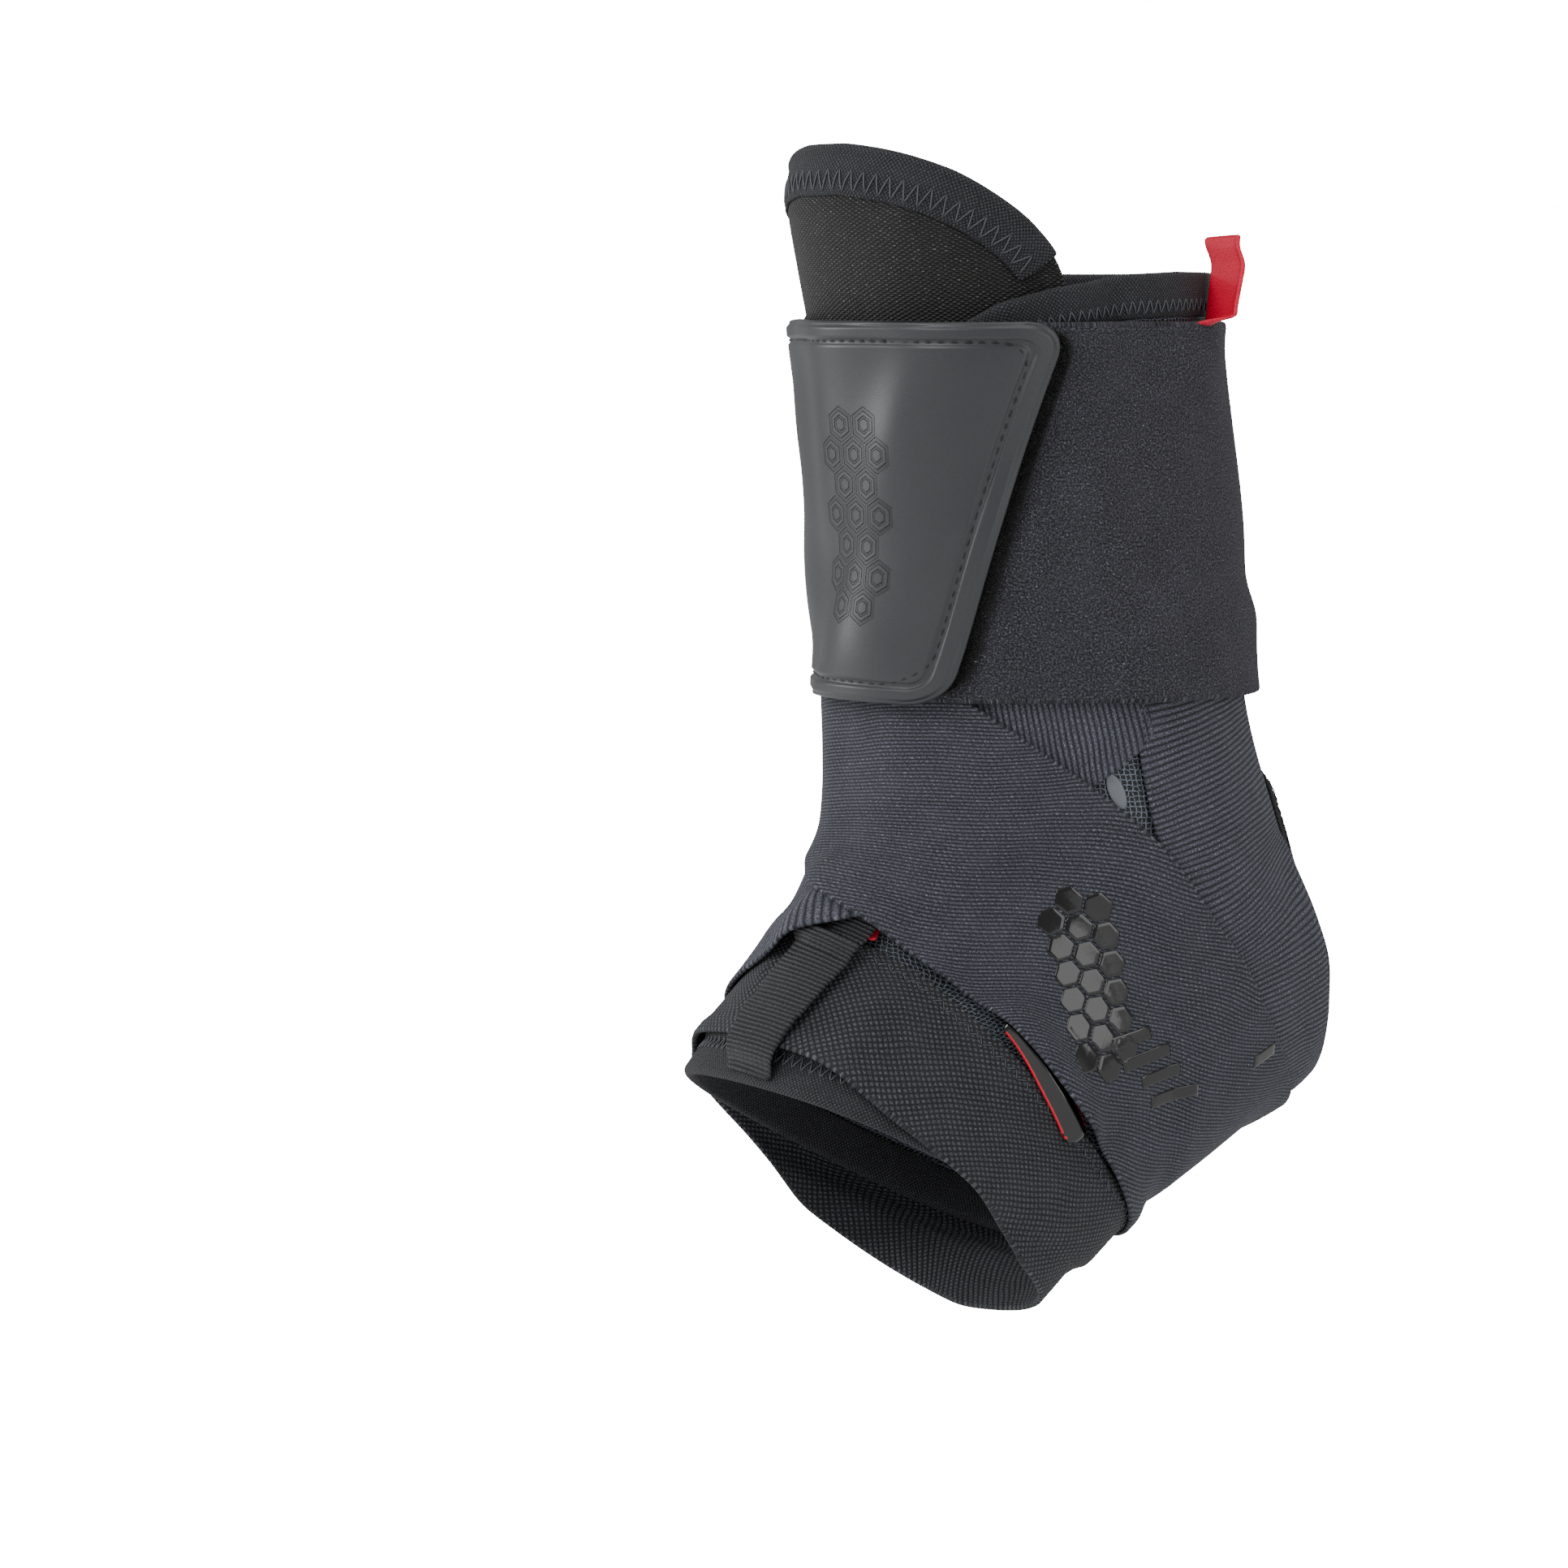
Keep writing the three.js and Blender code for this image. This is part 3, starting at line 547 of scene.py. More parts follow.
class Tree:
    """A material's nodes, added one at a time."""

    def __init__(self, name: str, world: bpy.types.World | None = None) -> None:
        """Makes a new material, or takes a world, with its shader.

        Args:
            name: Name of the material.
            world: World to use instead.
        """
        self.material = world or bpy.data.materials.new(name)
        self.material.use_nodes = True
        self.nodes = self.material.node_tree.nodes
        self.links = self.material.node_tree.links
        self.shader = self.nodes["Background" if world else "Principled BSDF"]

    def add(self, kind: str, inputs: dict, **settings: object) -> bpy.types.Node:
        """Adds a node, sets its options and fills or links its inputs.

        Args:
            kind: Type name of the node.
            inputs: Input number or name to a value or an output socket.
            settings: Options of the node.
        Returns:
            The node.
        """
        node = self.nodes.new(kind)
        for key, value in settings.items():
            setattr(node, key, value)
        for key, value in inputs.items():
            if isinstance(value, Socket):
                self.links.new(value, node.inputs[key])
            else:
                node.inputs[key].default_value = value
        return node

    def math(self, operation: str, *values: object) -> Socket:
        """Adds a math node."""
        return self.add("ShaderNodeMath", dict(enumerate(values)), operation=operation).outputs[0]

    def mix(self, share: object, first: object, second: object) -> Socket:
        """Adds a colour mix."""
        node = self.add("ShaderNodeMix", {0: share, 6: first, 7: second}, data_type="RGBA")
        return node.outputs[2]

    def step(self, value: object, start: float, end: float) -> Socket:
        """Adds a smooth step."""
        node = self.add("ShaderNodeMapRange", {0: value, 1: start, 2: end},
                        interpolation_type="SMOOTHSTEP")
        return node.outputs[0]

    def noise(self, place: object, scale: float, detail: float = 2.0) -> Socket:
        """Adds a noise."""
        node = self.add("ShaderNodeTexNoise", {"Vector": place, "Scale": scale, "Detail": detail})
        return node.outputs[0]

    def set(self, **sockets: object) -> None:
        """Sets or links the shader's sockets.

        Args:
            sockets: Values or outputs by the socket's name, with _ for a space.
        """
        for key, value in sockets.items():
            socket = self.shader.inputs[key.replace("_", " ")]
            if isinstance(value, Socket):
                self.links.new(value, socket)
            else:
                socket.default_value = value

    def wave(self, value: object, pitch: float) -> Socket:
        """Adds a cosine of a length, from 0 to 1 and back once in each pitch."""
        turns = self.math("MULTIPLY", value, 2 * np.pi / (pitch * MM))
        return self.math("MULTIPLY_ADD", self.math("COSINE", turns), 0.5, 0.5)

    def cloth_place(self) -> Socket:
        """Adds the flat place on the cloth, in metres."""
        return self.add("ShaderNodeUVMap", {}, uv_map="cloth").outputs[0]

    def bump(self, height: object, depth: float, normal: object = None) -> Socket:
        """Adds a bump.

        Args:
            height: Height from 0 to 1.
            depth: Depth in mm.
            normal: Normal that is bumped further, if any.
        Returns:
            The new normal.
        """
        inputs = {"Height": height, "Distance": depth * MM, "Strength": 1.0}
        if normal is not None:
            inputs["Normal"] = normal
        return self.add("ShaderNodeBump", inputs).outputs[0]


def tinted(base: Array, times: float, more: float = 0.0) -> tuple:
    """A colour made paler or darker."""
    return tuple(np.append(np.minimum(base[:3] * times + more, 1), 1))


@dataclass(frozen=True)
class Cloth:
    """A woven or knitted cloth.

    The pattern's height is made from cosines of the flat place. The weave is the cloth's own pattern;
    its valleys are darkened as painted shade and its thread tops lightened as painted highlight, and
    it bumps the surface; a fine noise breaks it up, and rare bright specks are painted glints of
    fibres that catch the light.
    """

    name: str
    # color is the valleys' dark colour, with painted shade; light is the thread tops' pale colour, with
    # painted highlight
    color: str
    light: str
    weave: Weave
    pitch: float = 1.0
    cross: float = 1.0
    angle: float = 0.0
    depth: float = 0.15
    rough: float = 0.85
    # Strength of the painted glints, rare bright specks on the thread tops
    specks: float = 0.3
    sheen: float = 0.03
    shine: float = 0.3

    # Scales are cells in a metre; the sway is in metres
    SWAY_SCALE, SWAY = 60.0, 1.2 * MM
    FIBRE_SCALE, FIBRE_DEPTH = 3200.0, 0.05
    # Size and colour of the painted glints
    SPECK_SCALE, SPECK_COLOR = 4600.0, "#8f929a"
    FADE_SCALE, FADE = 130.0, 0.07
    TWILL_SKEW = 0.55

    def height(self, tree: Tree, x: object, y: object) -> Socket:
        """Pattern height at a flat place, by the kind of weave.

        Twill and rib are waves across, broken by weaker waves along. Knit is the root of two
        crossing waves' product. Mesh is high near the edges of cells, and loops are a noise.

        Args:
            tree: The material's nodes.
            x, y: Flat place across and along in metres.
        Returns:
            Height from 0 to 1.
        """
        if self.weave is Weave.TWILL:
            ribs = tree.wave(x, self.pitch)
            skew = tree.math("ADD", y, tree.math("MULTIPLY", x, self.TWILL_SKEW))
            knots = tree.wave(skew, self.cross)
            return tree.math("MULTIPLY", tree.math("POWER", ribs, 0.7),
                             tree.math("MULTIPLY_ADD", knots, 0.35, 0.65))
        if self.weave is Weave.RIB:
            ribs = tree.wave(y, self.pitch)
            grain = tree.wave(x, self.cross)
            return tree.math("MULTIPLY", tree.math("POWER", ribs, 0.6),
                             tree.math("MULTIPLY_ADD", grain, 0.25, 0.75))
        if self.weave is Weave.KNIT:
            lean = tree.math("MULTIPLY", y, self.pitch / self.cross)
            first, second = (tree.wave(tree.math(way, x, lean), self.pitch) for way in ("ADD", "SUBTRACT"))
            return tree.math("POWER", tree.math("MULTIPLY", first, second), 0.5)
        place = tree.add("ShaderNodeCombineXYZ", {0: x, 1: y}).outputs[0]
        if self.weave is Weave.MESH:
            cells = tree.add("ShaderNodeTexVoronoi",
                             {"Vector": place, "Scale": 1 / (self.pitch * MM), "Randomness": 0.35},
                             feature="DISTANCE_TO_EDGE", voronoi_dimensions="2D")
            return tree.math("SUBTRACT", 1.0, tree.step(cells.outputs["Distance"], 0.08, 0.32))
        return tree.step(tree.noise(place, 1 / (self.pitch * MM), 4.0), 0.35, 0.68)

    def build(self) -> bpy.types.Material:
        """Makes the material.

        Returns:
            The material.
        """
        tree = Tree(self.name)
        place = tree.cloth_place()
        turned = tree.add("ShaderNodeVectorRotate", {"Vector": place, "Angle": np.radians(self.angle)},
                          rotation_type="Z_AXIS").outputs[0]
        split = tree.add("ShaderNodeSeparateXYZ", {0: turned})
        wander = tree.noise(place, self.SWAY_SCALE, 1.0)
        sway = tree.math("MULTIPLY", tree.math("SUBTRACT", wander, 0.5), self.SWAY)
        x, y = (tree.math("ADD", split.outputs[axis], sway) for axis in (0, 1))
        height = self.height(tree, x, y)
        fine = tree.noise(place, self.FIBRE_SCALE)
        # Painted shade and highlight: by the weave's height, valleys take the dark colour and thread tops
        # the pale one
        shade = tree.math("MULTIPLY", height, tree.step(fine, 0.25, 0.7))
        cells = tree.add("ShaderNodeTexVoronoi", {"Vector": place, "Scale": self.SPECK_SCALE})
        chance = tree.add("ShaderNodeSeparateColor", {0: cells.outputs["Color"]}).outputs[0]
        # Painted glints: rare bright specks on the thread tops, standing in for fibres that catch the light
        painted_glint = tree.math("MULTIPLY", tree.step(chance, 0.9, 1.0), tree.step(height, 0.45, 0.8))
        patchy = tree.step(tree.noise(place, self.FADE_SCALE, 3.0), 0.35, 0.7)
        cloth = tree.mix(shade, linear(self.color), linear(self.light))
        faded = tree.mix(tree.math("MULTIPLY", patchy, self.FADE), cloth, linear(self.light))
        bright = tree.mix(tree.math("MULTIPLY", painted_glint, self.specks), faded,
                          linear(self.SPECK_COLOR))
        grained = tree.bump(fine, self.FIBRE_DEPTH, tree.bump(height, self.depth))
        tree.set(Base_Color=bright, Roughness=self.rough, Specular_IOR_Level=self.shine,
                 Sheen_Weight=self.sheen, Sheen_Roughness=0.4, Normal=grained)
        return tree.material


@dataclass(frozen=True)
class Solid:
    """Rubber, glossy print, label or thread: an even colour with a fine grain."""

    name: str
    color: str
    rough: float
    grain: float = 0.02
    grain_size: float = 0.5
    coat: float = 0.0
    shine: float = 0.5
    specks: float = 0.0

    WEAR_SCALE = 45.0
    SPECK_COLOR = "#d0d2d8"

    def build(self) -> bpy.types.Material:
        """Makes the material.

        Returns:
            The material.
        """
        tree = Tree(self.name)
        place = tree.add("ShaderNodeTexCoord", {}).outputs["Object"]
        grain = tree.noise(place, 1 / (self.grain_size * MM), 3.0)
        wear = tree.step(tree.noise(place, self.WEAR_SCALE, 4.0), 0.3, 0.75)
        base = np.array(linear(self.color))
        color = tree.mix(tree.math("MULTIPLY", wear, 0.5), tuple(base), tinted(base, 1.25, 0.002))
        dots = tree.math("MULTIPLY", tree.step(grain, 0.62, 0.75), self.specks)
        tree.set(Base_Color=tree.mix(dots, color, linear(self.SPECK_COLOR)),
                 Roughness=tree.math("MULTIPLY_ADD", wear, 0.08, self.rough - 0.04),
                 Specular_IOR_Level=self.shine, Coat_Weight=self.coat, Coat_Roughness=0.12,
                 Normal=tree.bump(grain, self.grain))
        return tree.material


@dataclass(frozen=True)
class DebossedRubber:
    """Satin rubber with a cluster of hexagon outlines pressed into it.

    Flat places are read from the cloth map. Three axes at 60 degrees give the distance to a
    hexagon's edge, and a band of that distance is the groove. A smaller band is the ring inside.
    The grooves are bumped, and darkened in the colour as painted shade.
    """

    name: str
    color: str
    rough: float
    centre: tuple
    half: tuple
    cell: float
    groove: float

    GRAIN_SCALE, GRAIN_DEPTH = 2400.0, 0.012
    WEAR_SCALE = 38.0
    PRESS_DEPTH = 0.5

    def cells(self, tree: Tree, x: object, y: object, shift: float) -> Socket:
        """Marks of one of the two square sets of hexagons, those with their centre in the oval.

        Args:
            tree: The material's nodes.
            x, y: Flat place in cells from the cluster's centre.
            shift: Shift of the set in cells.
        Returns:
            Mark from 0 to 1.
        """
        math, tall, wide = tree.math, HEX_TALL, self.groove / self.cell
        across, down = (reach / self.cell for reach in self.half)
        sx = math("WRAP", math("ADD", x, shift), 0.5, -0.5)
        sy = math("WRAP", math("ADD", y, shift * tall), tall / 2, -tall / 2)
        ax, ay = math("ABSOLUTE", sx), math("ABSOLUTE", sy)
        slant = math("ADD", math("MULTIPLY", ax, 0.5), math("MULTIPLY", ay, tall / 2))
        edge = math("MAXIMUM", ax, slant)
        ring = math("SUBTRACT", tree.step(edge, 0.44 - wide, 0.47 - wide), tree.step(edge, 0.45, 0.475))
        core = math("SUBTRACT", tree.step(edge, 0.15, 0.18), tree.step(edge, 0.22, 0.25))
        cx = math("DIVIDE", math("SUBTRACT", x, sx), across)
        cy = math("DIVIDE", math("SUBTRACT", y, sy), down)
        far = math("ADD", math("MULTIPLY", cx, cx), math("MULTIPLY", cy, cy))
        return math("MULTIPLY", math("MAXIMUM", ring, core), math("LESS_THAN", far, 1.0))

    def build(self) -> bpy.types.Material:
        """Makes the material.

        Returns:
            The material.
        """
        tree = Tree(self.name)
        place = tree.cloth_place()
        split = tree.add("ShaderNodeSeparateXYZ", {0: place})
        x, y = (tree.math("DIVIDE", tree.math("SUBTRACT", split.outputs[axis], self.centre[axis] * MM),
                          self.cell * MM) for axis in (0, 1))
        mark = tree.math("MAXIMUM", *(self.cells(tree, x, y, shift) for shift in (0.0, 0.5)))
        grain = tree.noise(place, self.GRAIN_SCALE, 3.0)
        wear = tree.step(tree.noise(place, self.WEAR_SCALE, 4.0), 0.3, 0.75)
        base = np.array(linear(self.color))
        even = tree.mix(tree.math("MULTIPLY", wear, 0.6), tuple(base), tinted(base, 1.12))
        # Painted shade: the pressed marks are darkened to stand in for the shadow in the grooves
        color = tree.mix(tree.math("MULTIPLY", mark, 0.8), even, tinted(base, 0.35))
        pressed = tree.bump(tree.math("SUBTRACT", 1.0, mark), self.PRESS_DEPTH)
        tree.set(Base_Color=color, Roughness=tree.math("MULTIPLY_ADD", wear, 0.06, self.rough),
                 Specular_IOR_Level=0.45, Normal=tree.bump(grain, self.GRAIN_DEPTH, pressed))
        return tree.material


@dataclass
class Finishes:
    """All finishes of the brace, built once."""

    made: dict[str, bpy.types.Material] = field(default_factory=dict)

    # Cloth: name, valleys (dark colour with painted shade), threads (pale colour with painted highlight),
    # weave, pitch, cross pitch, angle, depth, roughness, specks (painted glints).
    # Solid: name, colour, roughness, grain depth, grain size, coat, shine, specks.
    LIST = (
        Cloth("padded mesh", "#010101", "#403f3e", Weave.KNIT, 1.5, 0.8, 0, 0.35, 0.6, 0.5),
        Cloth("knit tape", "#060607", "#4a4b50", Weave.KNIT, 0.9, 0.8, 0, 0.15, 0.85, 0.1),
        Cloth("boot mesh", "#030405", "#6a727d", Weave.MESH, 1.1, 1.0, 0, 0.5, 0.5, 0.9),
        Cloth("edge tape", "#08080a", "#26282d", Weave.KNIT, 0.7, 0.7, 0, 0.12, 0.8, 0.05),
        Cloth("coarse elastic", "#08090a", "#55575d", Weave.KNIT, 1.6, 1.3, 0, 0.4, 0.8, 0.2),
        Cloth("twill", "#101115", "#5b5d69", Weave.TWILL, 0.78, 1.1, 35, 0.14, 0.85, 0.45),
        Cloth("ribbed twill", "#0f1014", "#5f616d", Weave.RIB, 1.15, 0.9, 4, 0.18, 0.85, 0.45),
        Cloth("loop cloth", "#121217", "#54535d", Weave.LOOP, 0.4, 1.0, 0, 0.12, 0.95, 0.4),
        Cloth("hook fuzz", "#030303", "#1d1d20", Weave.LOOP, 0.5, 1.0, 0, 0.6, 0.7, 0.4),
        Cloth("webbing", "#040405", "#37383c", Weave.RIB, 0.9, 1.4, 0, 0.3, 0.6, 0.1),
        Cloth("red tape", "#b00028", "#e00438", Weave.RIB, 0.3, 0.3, 0, 0.02, 0.45, 0.0),
        DebossedRubber("panel rubber", "#282a2d", 0.4, (52.5, 37.0), (9.0, 20.0), 6.6, 0.7),
        Solid("gloss", "#020202", 0.1, 0.01, 0.8, 0.5, 0.3),
        Solid("grey print", "#54585e", 0.4, 0.01, 0.4),
        Solid("label gloss", "#020202", 0.1, 0.01, 0.8, 0.6, 0.3),
        Solid("red edge", "#b8001f", 0.4),
        Solid("dark thread", "#060607", 0.6, 0.05, 0.2),
        Solid("grey thread", "#3a3c41", 0.6, 0.05, 0.2),
        Solid("strap end gloss", "#040405", 0.25, 0.08, 0.7, 0.4, 0.5, 0.1),
    )

    def get(self, name: str) -> bpy.types.Material:
        """Material of a finish.

        Args:
            name: The finish's name.
        Returns:
            The material.
        """
        if name not in self.made:
            chosen = next(x for x in self.LIST if x.name == name)
            self.made[name] = chosen.build()
        return self.made[name]


@dataclass
class Kit:
    """What every sub-assembly shares: the shape, the layers and the finishes."""

    sizes: Sizes
    shape: Shape
    layers: Layers
    finishes: Finishes

    WAVES = 5
    LEAST_SHARE = 0.31

    def waves(self, points: Array, size: float, seed: int) -> Array:
        """Gentle folds: a sum of a few long sine waves through space.

        Args:
            points: Array of points in mm.
            size: Height of the folds in mm.
            seed: Number that picks the waves.
        Returns:
            Heights in mm.
        """
        source = np.random.default_rng(SEED + seed)
        directions = unit(source.normal(size=(self.WAVES, 3)))
        lengths = source.uniform(18, 46, self.WAVES)
        phases = source.uniform(0, 2 * np.pi, self.WAVES)
        turns = points @ directions.T * (2 * np.pi / lengths) + phases
        return np.sin(turns).sum(-1) * size / self.WAVES

    def finish(self, piece: Object, slot: str, look: str, *nodes: str) -> None:
        """Gives a piece its material and body, and hides the CAD nodes it stands for.

        Args:
            piece: The object.
            slot: Material slot; not used.
            look: Name of its finish.
            nodes: CAD nodes that it replaces.
        """
        piece.data.materials.append(self.finishes.get(look))
        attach(piece, "root")
        if nodes:
            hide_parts(*nodes)

    def straight(self, place: list, toward: list, length: float) -> Array:
        """Three places of a straight run from one place toward another.

        Args:
            place: Its start.
            toward: A place that it heads for.
            length: Its length in mm.
        Returns:
            Places at its start, middle and end.
        """
        place, toward = np.array(place, float), np.array(toward, float)
        heading = unit(self.shape.point(toward) - self.shape.point(place))
        far = [self.shape.walk(place, heading, length * share) for share in (0.5, 1)]
        return np.stack([place, *far])

    def on_top(self, places: Array, name: str, more: float = 0.0) -> Array:
        """Points on a layer's top."""
        return self.shape.lifted(places, self.layers.near(places, name)[1] + more)

    def cloth(self, name: str, places: Array, slot: str, look: str, thickness: Array | float,
              below: list[str], *, keep: Array | None = None, wrap: bool = False, folds: float = 0.2,
              extra: Array | float = 0.0, held: str = "laid", rests: tuple = ("boot_body",),
              column: int | None = None, declare: bool = True,
              smooth: int = 0) -> tuple[Object, Patch]:
        """Makes a sheet of cloth on a grid of places, over the layers below it.

        Args:
            name: Name of the piece and of its layer.
            places: Grid of (u, v).
            slot: Material slot.
            look: Name of a finish.
            thickness: Thickness in mm, a number or a grid.
            below: Names of the layers below.
            keep: Grid of cells that have cloth.
            wrap: Whether the grid closes to a ring.
            folds: Height of gentle folds in mm.
            extra: More room below in mm, a number or a grid.
            held: How the cloth is held; not used.
            rests: What it rests on.
            column: Column that is straight when the cloth is flat.
            declare: Whether the sheet's flat size and share of cover are worked out; nothing is done with
                them.
            smooth: How strongly the cloth bridges the steps below it.
        Returns:
            The piece and its surface as a Patch.
        """
        bottom = self.layers.over(places, below) + extra
        if smooth:
            bottom = settle(bottom, smooth, wrap)
        bottom = bottom + self.waves(self.shape.point(places), folds, len(name)) + folds
        top = bottom + thickness
        spots = None
        if keep is not None:
            spots = np.zeros(places.shape[:2], bool)
            cells = keep[:, : places.shape[1] - 1]
            for di, dj in ((0, 0), (0, 1), (1, 0), (1, 1)):
                part = spots[di : di + cells.shape[0], dj : dj + cells.shape[1]]
                np.logical_or(part, cells, out=part)
        self.layers.lay(name, places, bottom, top, spots)
        outer, inner = self.shape.lifted(places, top), self.shape.lifted(places, bottom)
        middle = places.shape[1] // 2 if column is None else column
        looped = np.concatenate([outer, outer[:, :1]], axis=1) if wrap else outer
        flat = flat_places(looped, middle)
        piece = shell(name + "_cloth", outer, inner, flat, keep, wrap)
        self.finish(piece, slot, look, name)
        if declare:
            size = (np.ptp(flat[..., 0]) * MM, np.ptp(flat[..., 1]) * MM)
            area = sum(p.area for p in piece.data.polygons) / 2
            share = min(1.0, area / (size[0] * size[1]))
            list(rests)
            max(share, self.LEAST_SHARE) * size[0] * size[1]
        return piece, Patch(outer, flat[:, middle, 1], flat[len(flat) // 2, : outer.shape[1], 0])


def closed_up(rows: Array) -> Array:
    """Rows with the first one repeated at the end."""
    return np.vstack([rows, rows[:1]])


def read_along(at: Array, run: Array, values: Array) -> Array:
    """Values of a line read at some lengths."""
    return np.stack([np.interp(at, run, values[:, k]) for k in range(values.shape[1])], -1)


def path_line(kit: Kit, path: Array | tuple) -> tuple[Array, Array]:
    """Fine places along a path, and the length run at each."""
    line = smooth_rows(path, np.linspace(0, len(path) - 1, 40 * len(path)))
    return line, lengths_along(kit.shape.point(line))


def strip_places(kit: Kit, path: Array | tuple, width: float, step: float, across: int, *,
                 start: float = 0.0, slant: float = 0.0, stop: float = 0.0,
                 width_at: Callable[[Array], Array] | None = None) -> Array:
    """Grid of places of a strip along a path, at even lengths.

    Args:
        kit: The shared kit.
        path: Rows of (u, v) of its middle line.
        width: Width in mm.
        step: Spacing along in mm.
        across: Count of spaces across.
        start: Length left out at the path's first point.
        slant: How much more is left out at one side of the start.
        stop: Length left out at the path's end.
        width_at: Function of the share along it that scales the width.
    Returns:
        Grid of (u, v).
    """
    look_ahead = 3
    line, run = path_line(kit, path)
    rows = max(3, int((run[-1] - start - stop) / step))
    t, b = np.meshgrid(np.linspace(0, 1, rows), np.linspace(-0.5, 0.5, across + 1), indexing="ij")
    length = (start + slant * 2 * b) * (1 - t) + (run[-1] - stop) * t
    centre = read_along(length, run, line)
    ahead, behind = (kit.shape.point(read_along(np.clip(length + way, 0, run[-1]), run, line))
                     for way in (look_ahead, -look_ahead))
    aside = unit(np.cross(kit.shape.frame(centre)[2], unit(ahead - behind)))
    return kit.shape.walk(centre, aside, b * width * (width_at(t) if width_at else 1))


def smooth_line(values: Array, times: int, closed: bool) -> Array:
    """Values along a line, each averaged with its neighbours: a quarter, a half, a quarter.

    Args:
        values: Rows of values.
        times: How often.
        closed: Whether the line is a loop.
    Returns:
        The smoothed values.
    """
    for _ in range(times):
        if closed:
            values = (np.roll(values, 1, axis=0) + 2 * values + np.roll(values, -1, axis=0)) / 4
        else:
            held = np.concatenate([values[:1], values, values[-1:]])
            values = (held[:-2] + 2 * held[1:-1] + held[2:]) / 4
    return values


def smooth_grid(values: Array, times: int, wrap: bool) -> Array:
    """Values on a grid, averaged with their neighbours in both directions."""
    return smooth_line(smooth_line(values, times, False).T, times, wrap).T


def settle(raw: Array, times: int, wrap: bool) -> Array:
    """Heights of a stiff cloth: smoothed, then raised gently where it would sink into what is below."""
    height = smooth_grid(raw, times, wrap)
    return height + smooth_grid(np.maximum(raw - height, 0), times, wrap)


@dataclass(frozen=True)
class Thread:
    """A sewing thread: its slot and finish, its radius in mm and the points of one stitch."""

    slot: str
    look: str = "grey thread"
    radius: float = 0.16
    points: int = 7

    def zigzag(self, kit: Kit, name: str, surface: Patch, swing: tuple, pitch: float,
               start: float = 0.0, stop: float | None = None) -> None:
        """Sews a zigzag along a surface.

        Args:
            kit: The shared kit.
            name: Name of the piece.
            surface: The surface it lies on.
            swing: The two places across, in mm, between which it swings.
            pitch: Length of one swing and back.
            start, stop: Lengths along the surface where it begins and ends.
        """
        end = surface.rows[-1] if stop is None else stop
        count = max(2, int((end - start) / (pitch / 2)))
        begin = start + np.arange(count) * pitch / 2
        t = np.linspace(0, 1, self.points)
        share = np.where(np.arange(count)[:, None] % 2 == 0, t, 1 - t)
        point, normal = surface.at(begin[:, None] + t * pitch / 2, swing[0] + (swing[1] - swing[0]) * share)
        rise = self.radius * (0.2 + 0.9 * np.sin(np.pi * t))[None, :, None]
        kit.finish(tubes(name, point + normal * rise, normal, self.radius), self.slot, self.look)

    def running(self, kit: Kit, name: str, points: Array, normals: Array, long: float,
                space: float) -> None:
        """Sews single stitches along a line of points.

        Args:
            kit: The shared kit.
            name: Name of the piece.
            points: Points along the line in mm.
            normals: Normals along it.
            long: Length of a stitch in mm.
            space: Space between two stitches in mm.
        """
        run = lengths_along(points)
        t = np.linspace(0, 1, self.points)
        along = (np.arange(int(run[-1] / (long + space))) * (long + space))[:, None] + t * long
        point, normal = read_along(along, run, points), unit(read_along(along, run, normals))
        rise = self.radius * (1.6 * np.sin(np.pi * t) - 0.4)[None, :, None]
        kit.finish(tubes(name, point + normal * rise, normal, self.radius), self.slot, self.look)


